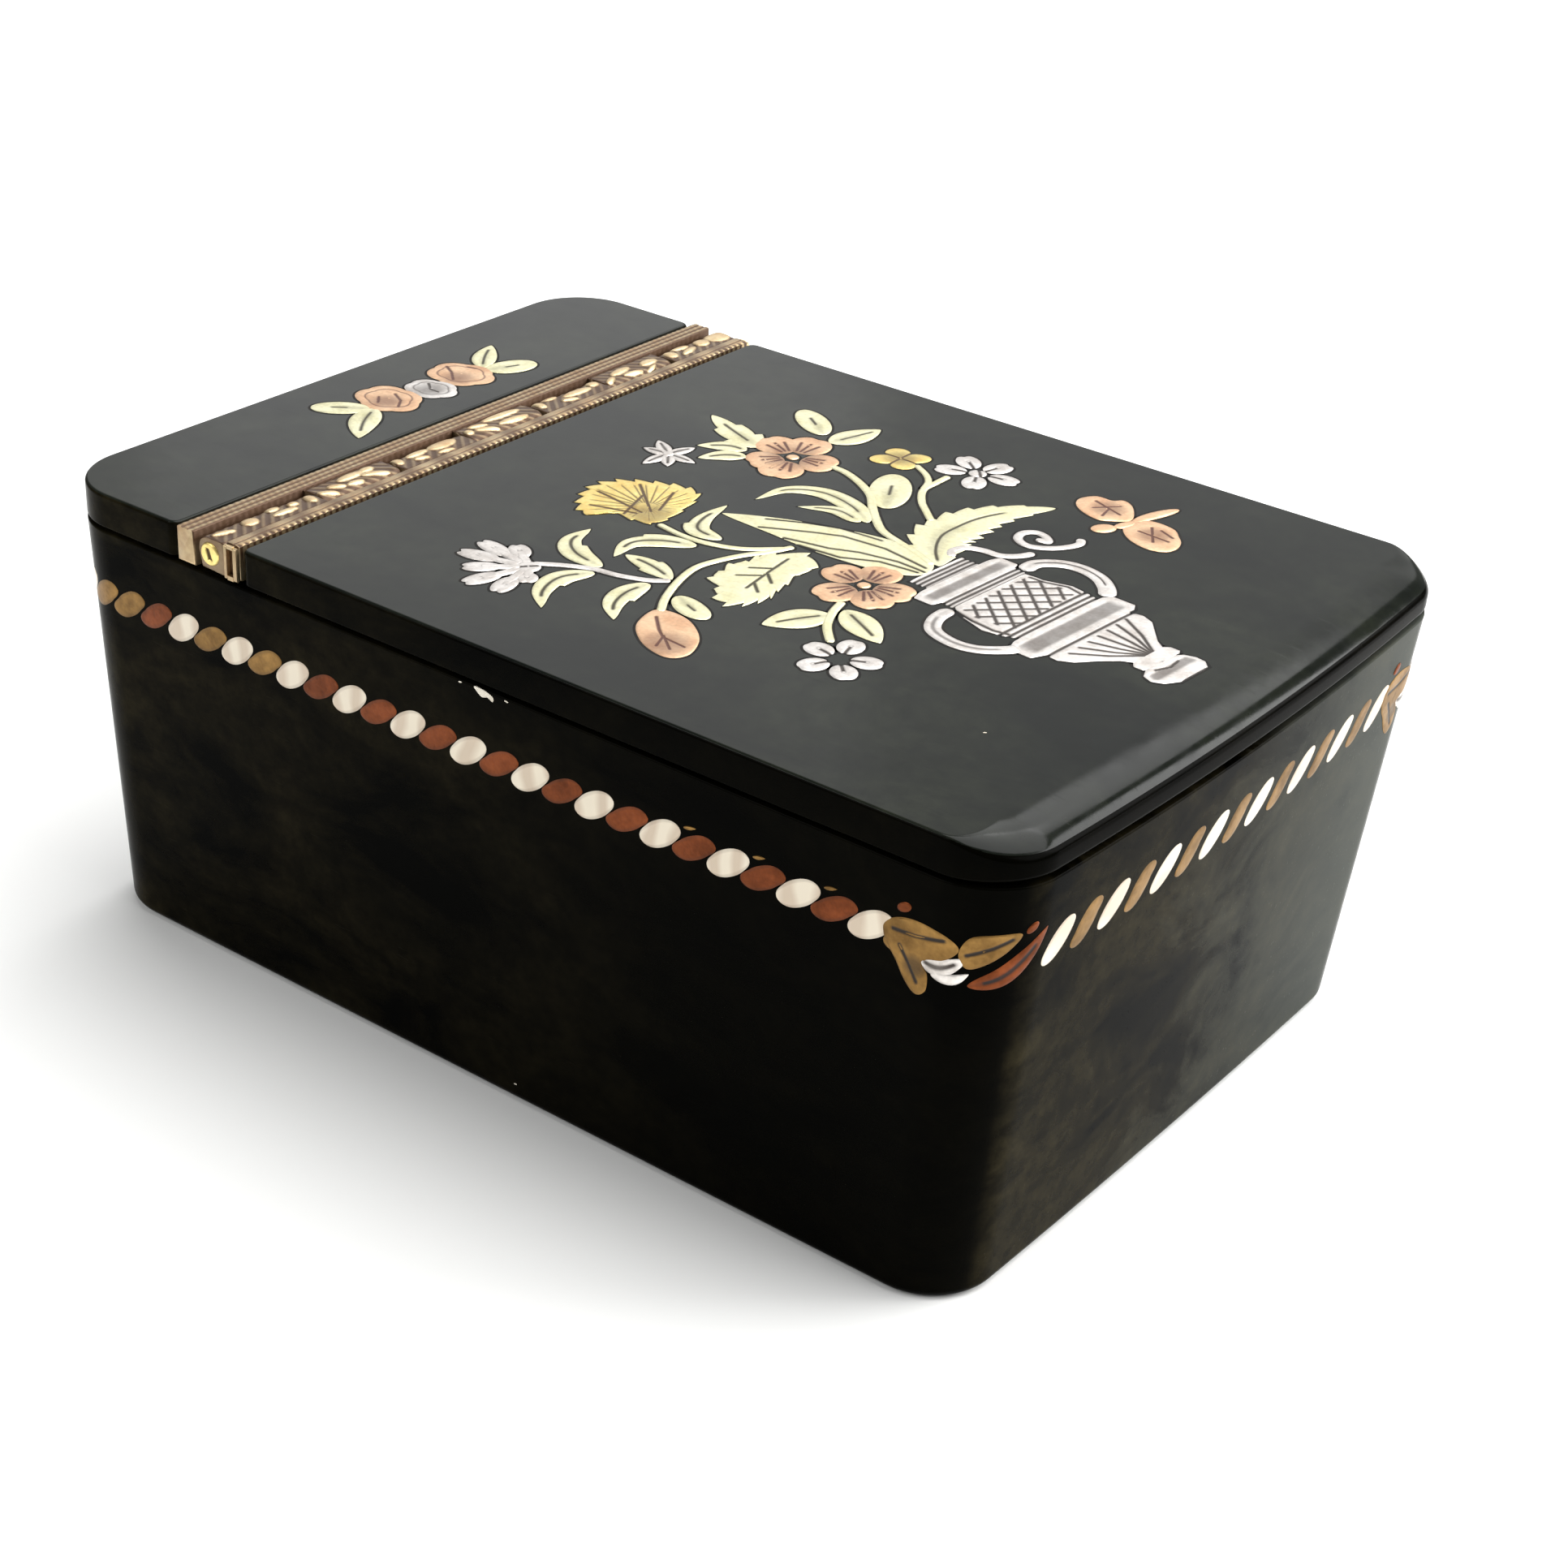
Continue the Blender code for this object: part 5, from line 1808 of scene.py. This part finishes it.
@dataclass
class Vase:
    """The silver two-handled vase, lying with its foot towards the thumb end."""

    ground: PlateGround
    origin: Point = (16.3, 1.7)
    angle: float = -4.0

    def lattice(self) -> tuple[Line, ...]:
        """Crossing diagonals over the belly, 1.5 mm apart, in the ground's coordinates."""
        lines: list[Line] = []
        for step in range(14):
            for lean in (-1.0, 1.0):
                offset = (14.0 + 1.55 * step) if lean < 0 else (27.0 - 1.55 * step)
                reach = [(x, (offset - x) if lean < 0 else (x - offset))
                         for x in np.linspace(20.0, 24.1, 22).tolist()]
                kept = [p for p in reach if -2.9 < p[1] < 5.4]
                if len(kept) > 2:
                    lines.append((kept[0], kept[-1]))
        return tuple(lines)

    def build(self) -> list[Object]:
        """Makes the vase of bands along its axis, with a handle each side.

        Returns:
            The vase and its bed.
        """
        def slab(*stations: Triple, **more: Any) -> Slab:
            """A band in the vase's own place and turn."""
            return Slab(self.origin, self.angle, stations, **more)

        flutes = tuple(((29.0, 0.45 + t), (31.2, 0.45 + 0.58 * t), (33.0, 0.5 + 0.12 * t))
                       for t in (-3.6, -2.4, -1.2, 0.0, 1.2, 2.4, 3.6))
        shapes: list[Inlay] = [
            slab((-1.6, -2.9, 3.0), (0.1, -2.9, 3.0), bands=(-1.25, -0.8, -0.35, 0.05)),
            slab((0.0, -3.9, 4.2), (0.25, -4.8, 5.0), (1.85, -4.8, 5.0), (2.1, -3.9, 4.2),
                 shaded=(0.6, 1.6)),
            slab((2.1, -4.0, 4.4), (3.0, -4.1, 4.3), (3.6, -4.1, 4.0), bands=(2.3, 2.75, 3.2)),
            slab((3.2, -3.9, 4.1), (4.0, -4.5, 4.2), (4.7, -4.8, 4.2), (6.7, -5.4, 4.9), (8.2, -5.1, 4.7),
                 (9.3, -4.6, 4.5),
                 cuts=(*self.lattice(), ((19.7, -2.9), (21.3, -3.4), (23.2, -3.7), (24.3, -3.5)),
                       ((20.3, 5.3), (21.5, 5.3), (23.2, 5.8), (24.5, 5.4))),
                 bands=(8.0, 8.6, 9.1)),
            slab((9.3, -5.3, 5.0), (9.7, -6.4, 5.6), (11.6, -6.4, 5.6), (12.0, -5.3, 4.9),
                 shaded=(9.9, 11.4)),
            slab((12.0, -5.3, 4.4), (13.0, -5.4, 4.6), (14.0, -4.8, 4.2), (15.0, -3.4, 3.1),
                 (16.0, -2.3, 2.0), (16.9, -1.8, 1.4), cuts=flutes, bands=(12.2,)),
            slab((16.8, -2.0, 1.6), (17.1, -2.4, 1.9), (17.9, -2.4, 1.9), (18.1, -2.0, 1.5)),
            slab((18.0, -2.3, 1.0), (18.4, -3.1, 1.6), (19.2, -3.4, 1.9), (20.0, -3.0, 1.8),
                 (20.6, -1.9, 1.2), cuts=(((34.6, -1.4), (35.1, -0.3), (35.0, 0.9)),), shaded=(18.6, 19.5)),
            Blade(((19.3, 6.0), (19.4, 7.6), (20.7, 8.8), (22.3, 9.1), (24.0, 8.6), (25.3, 7.5),
                   (26.1, 6.3)), 1.3, Form.STEM, vein=0.1),
            Blade(((19.2, -2.9), (19.3, -4.8), (20.2, -6.4), (22.2, -7.1), (24.0, -6.8), (25.5, -5.6),
                   (26.0, -4.8)), 1.2, Form.STEM, vein=0.1),
            stem(0.75, (14.2, 4.4), (13.7, 5.3), (14.1, 6.4), (15.3, 6.9), (16.7, 7.0), (17.7, 7.8),
                 (18.3, 9.0)),
        ]
        return [make_piece("silver_vase", [shape.shell(self.ground) for shape in shapes],
                           Finish.SILVER, "lid", "silver", ("vase_inlay",)),
                lay_bed("vase_bed", shapes, self.ground, "lid")]


@dataclass
class RopeBorder:
    """The twisted rope of pearl and copper let into the walls, with a leaf at each corner of the thumb end.
    """

    ground: WallGround
    body: Body
    middle: float = 27.9
    pitch: float = 5.61
    first_pearl: float = -29.6
    length: float = 3.9
    width: float = 1.8
    lean: float = 40.0
    pearl_lean: float = 29.0
    metal_lean: float = 22.0
    drawn_middle: float = 27.9
    leaf_lead: float = 3.4
    leaf_room: float = 12.7
    end_room: float = 0.9
    rear_room: float = 40.2

    def piece(self, run: float, size: float, slim: float, sway: float,
              lean: Optional[float] = None) -> Blade:
        """One slanting lens of the rope.

        Its spine is a straight line on the slant, bent to a slight S by a sine.

        Args:
            run: where its middle is, round the wall.
            size: share of the full length.
            slim: share of the full width.
            sway: how far the S bends.
            lean: its slant in degrees, or None for the rope's own.

        Returns:
            The lens.
        """
        slant = math.radians(self.lean if lean is None else lean)
        way = (math.cos(slant), math.sin(slant))
        half = self.length / 2 * size
        spine = tuple((run + t * half * way[0] - sway * math.sin(math.pi * t) * way[1],
                       self.middle + t * half * way[1] + sway * math.sin(math.pi * t) * way[0])
                      for t in (-1.0, -0.5, 0.0, 0.5, 1.0))
        return Blade(spine, self.width * slim, Form.OVAL, vein=0.0, dome=0.03, rim=0.3)

    def corner_leaf(self, run: float) -> tuple[list[Inlay], list[Inlay], list[Inlay]]:
        """The split leaf and silver bud that turn the rope round a corner.

        Args:
            run: where the corner's motif starts, round the wall.

        Returns:
            Its olive, silver and copper shapes.
        """
        drop = self.middle - self.drawn_middle

        def at(*points: Point) -> Line:
            """Points of the motif carried to this corner."""
            return tuple((run + x, z + drop) for x, z in points)

        olive: list[Inlay] = [
            Cutout(at((2.4, 27.6))[0],
                   at((0.0, 28.4), (0.4, 27.2), (1.2, 26.2), (2.0, 25.0), (2.9, 24.3), (3.6, 24.8),
                      (3.6, 26.0), (3.2, 26.9), (4.6, 27.5), (5.4, 28.5), (4.4, 29.3), (2.6, 29.6),
                      (1.0, 29.3)),
                   cuts=(at((0.8, 28.4), (2.4, 28.5), (4.4, 28.9)),
                         at((1.4, 27.4), (2.2, 26.3), (2.9, 25.2))),
                   shadow=at((2.6, 26.3))[0], reach=0.9),
            Cutout(at((6.9, 28.6))[0],
                   at((5.4, 28.2), (6.0, 27.2), (7.2, 27.6), (8.5, 28.6), (9.2, 29.7), (7.6, 29.8),
                      (6.0, 29.5)), cuts=(at((5.9, 28.2), (7.4, 28.8), (8.6, 29.4)),)),
        ]
        silver: list[Inlay] = [
            Blade(at((2.8, 27.0), (4.4, 26.9), (6.0, 27.9)), 1.3),
            Blade(at((3.8, 26.2), (5.2, 26.2), (6.2, 26.8)), 0.8, vein=0.0),
        ]
        copper: list[Inlay] = [
            Blade(at((6.2, 25.9), (8.2, 26.6), (9.8, 28.0), (11.2, 29.7)), 1.5),
            Disc(at((1.4, 30.2))[0], (0.55, 0.35), 30.0),
            Disc(at((9.9, 30.0))[0], (0.5, 0.3), 40.0),
        ]
        return olive, silver, copper

    def build(self) -> list[Object]:
        """Makes the pearl and metal pieces of each wall, and the corners.

        Returns:
            The objects.
        """
        end = self.body.width - 2 * self.body.front_radius
        turn_front = math.pi / 2 * self.body.front_radius
        near_end = self.body.length / 2 - self.body.front_bow - self.body.front_radius
        # Where each run ends: at the two corner leaves, and behind the last pieces of the near side
        near = near_end - self.leaf_lead
        ends = [near, near + turn_front + end, self.ground.length - self.rear_room]
        pearl: list[Inlay] = []
        copper: list[Inlay] = []
        olive: list[Inlay] = []
        silver: list[Inlay] = []
        first = self.first_pearl
        for index, start in enumerate(ends):
            last = start - self.end_room
            count = int((last - first) / self.pitch + 0.3)
            step = (last - first) / max(count, 1) if index else self.pitch
            for place in range(count + 1):
                run = first + step * place
                aged = place < 2 or index == 1
                pearl.append(self.piece(run, 1.0, 1.0, 0.06) if index % 2 else
                             self.piece(run, 0.97, 1.06, 0.08, self.pearl_lean))
                if place < count or not index:
                    metal = olive if aged or place == count else copper
                    metal.append(self.piece(run + step / 2, 1.0, 0.95, 0.2) if index % 2 else
                                 self.piece(run + step / 2, 0.98, 0.94, 0.14, self.metal_lean))
            if index < 2:
                for group, shapes in zip((olive, silver, copper), self.corner_leaf(start)):
                    group += shapes
                first = start + self.leaf_room
        olive += [self.piece(place, 0.98, 0.98, 0.14, 24.0) for place in (-38.3, -35.4)]
        copper.append(self.piece(-32.5, 0.98, 0.94, 0.14, 24.0))
        slivers = [Blade(((run + 1.9, self.middle + 1.25), (run + 2.9, self.middle + 1.5)), 0.32, vein=0.0)
                   for run in np.arange(self.first_pearl + 8 * self.pitch, ends[0], self.pitch)]
        made: list[Object] = []
        for name, shapes, finish, slot in (
                ("rope_pearl", pearl, Finish.PEARL, "mother_of_pearl"),
                ("rope_copper", copper, Finish.COPPER, "mother_of_pearl"),
                ("rope_tarnished", olive + slivers, Finish.OLIVE_GOLD, "mother_of_pearl"),
                ("rope_silver", silver, Finish.SILVER, "silver")):
            shells = [shape.shell(self.ground, 0.15) for shape in shapes]
            made.append(make_piece(name, shells, finish, "box", slot, ("rope_border_inlay",)))
        return made


@dataclass
class Wear:
    """The small chips at the seam and the pale specks that age has left."""

    wall: WallGround
    top: PlateGround

    def build(self) -> list[Object]:
        """Makes each chip as a thin fleck with a ragged outline.

        Returns:
            The flecks on the wall and on the lid.
        """
        seam = [
            Cutout((-0.1, 32.86),
                   ((-0.9, 33.14), (-0.6, 32.8), (-0.2, 32.56), (0.3, 32.68), (0.75, 32.5), (0.8, 32.84),
                    (0.3, 33.06), (-0.2, 33.14)), dome=0.0),
            Blade(((-2.3, 33.0), (-2.0, 33.04)), 0.12, Form.OVAL, vein=0.0, dome=0.0),
            Blade(((1.8, 33.0), (2.15, 32.96)), 0.11, Form.OVAL, vein=0.0, dome=0.0),
            Blade(((2.5, 1.5), (2.8, 1.55)), 0.12, Form.OVAL, vein=0.0, dome=0.0),
        ]
        speck = Blade(((31.0, -16.5), (31.2, -16.35)), 0.13, Form.OVAL, vein=0.0, dome=0.0)
        return [make_piece("seam_chips", [shape.shell(self.wall, 0.12) for shape in seam],
                           Finish.CHIP, "box", "tortoiseshell"),
                make_piece("lid_specks", [speck.shell(self.top, 0.08)], Finish.CHIP, "lid",
                           "tortoiseshell")]


# The studio


@dataclass
class Studio:
    """A pale floor, soft lights and the camera."""

    camera_place: Triple = (115.23, -153.70, 119.83)
    right: Triple = (0.79361711, 0.6066718, 0.04605668)
    up: Triple = (-0.32461239, 0.35818339, 0.8754036)
    back: Triple = (0.51458593, -0.70968584, 0.48119365)
    lens: float = 65.94

    def floor(self) -> None:
        """Lays a wide matt floor under the box."""
        mesh = bpy.data.meshes.new("studio_floor")
        size = 2.5
        mesh.from_pydata([(-size, -size, 0), (size, -size, 0), (size, size, 0), (-size, size, 0)],
                         [], [(0, 1, 2, 3)])
        mesh.materials.append(Finish.FLOOR_PAINT.material)
        made = bpy.data.objects.new("studio_floor", mesh)
        bpy.context.scene.collection.objects.link(made)

    def light(self, name: str, place: Triple, aim: Triple,
              size: tuple[float, float], radiance: float) -> None:
        """Hangs a soft panel.

        Args:
            name: the light's name.
            place: its centre in metres.
            aim: what it faces.
            size: its width and height in metres.
            radiance: how bright its face is.
        """
        data = bpy.data.lights.new(name, "AREA")
        data.shape = "RECTANGLE"
        data.size, data.size_y = size
        data.energy = radiance * size[0] * size[1] * math.pi
        made = bpy.data.objects.new(name, data)
        way = Vector(place) - Vector(aim)
        turn = way.to_track_quat("Z", "Y").to_matrix().to_4x4()
        made.matrix_world = Matrix.Translation(place) @ turn
        bpy.context.scene.collection.objects.link(made)

    def camera(self) -> None:
        """Places the camera at the photograph's angle."""
        data = bpy.data.cameras.new("camera")
        data.lens = self.lens
        data.sensor_width = 36.0
        data.clip_start = 0.01
        made = bpy.data.objects.new("camera", data)
        turn = Matrix((self.right, self.up, self.back)).transposed().to_4x4()
        made.matrix_world = Matrix.Translation(Vector(self.camera_place) * MM) @ turn
        bpy.context.scene.collection.objects.link(made)
        bpy.context.scene.camera = made

    def world(self) -> None:
        """Fills the room with a dim even light."""
        world = bpy.data.worlds.new("studio_room")
        world.use_nodes = True
        world.node_tree.nodes["Background"].inputs["Color"].default_value = linear("#F4F6F8")
        world.node_tree.nodes["Background"].inputs["Strength"].default_value = 0.18
        bpy.context.scene.world = world

    def build(self) -> None:
        """Sets up the studio."""
        self.floor()
        self.camera()
        self.world()
        self.light("rear_panel", (-0.75, 1.05, 0.75), (0.0, 0.0, 0.03), (1.7, 1.1), 0.82)
        self.light("left_panel", (-0.93, 1.0, 0.62), (0.0, 0.0, 0.03), (0.42, 0.6), 0.42)
        self.light("roll_panel", (-0.2, 1.0, 0.92), (0.03, 0.0, 0.03), (0.55, 0.36), 2.6)
        self.light("lip_strip", (1.0, 1.05, 0.11), (0.04, 0.0, 0.03), (0.5, 0.1), 8.0)
        self.light("overhead_box", (0.1, 0.35, 1.1), (0.0, 0.1, 0.0), (1.0, 1.0), 4.6)
        self.light("floor_box", (0.32, 0.36, 0.28), (0.22, 0.24, 0.0), (0.32, 0.32), 8.0)
        self.light("thumb_end_panel", (1.1, 0.3, 0.8), (0.04, 0.0, 0.02), (0.9, 0.7), 5.0)
        self.light("near_fill", (-0.55, -0.95, 0.8), (0.0, -0.03, 0.0), (0.8, 0.8), 3.6)
        bpy.context.scene.view_settings.view_transform = "Standard"


def main() -> None:
    """Builds the box, dresses it and sets up the studio."""
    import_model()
    body = Body()
    plates = Plates(body)
    strap = HingeStrap(plates)
    top = PlateGround(plates.top)
    wall = WallGround(body)
    built = [body.build(), *plates.build(), *strap.build(), *Bouquet(top).build(),
             *Vase(top).build(), *SmallOrnaments(top).build(), *RopeBorder(wall, body).build(),
             *Wear(wall, top).build()]
    Studio().build()
    LOG.info("%d pieces made", len(built))


if __name__ == "__main__":
    logging.basicConfig(level=logging.INFO, format="%(name)s: %(message)s")
    main()
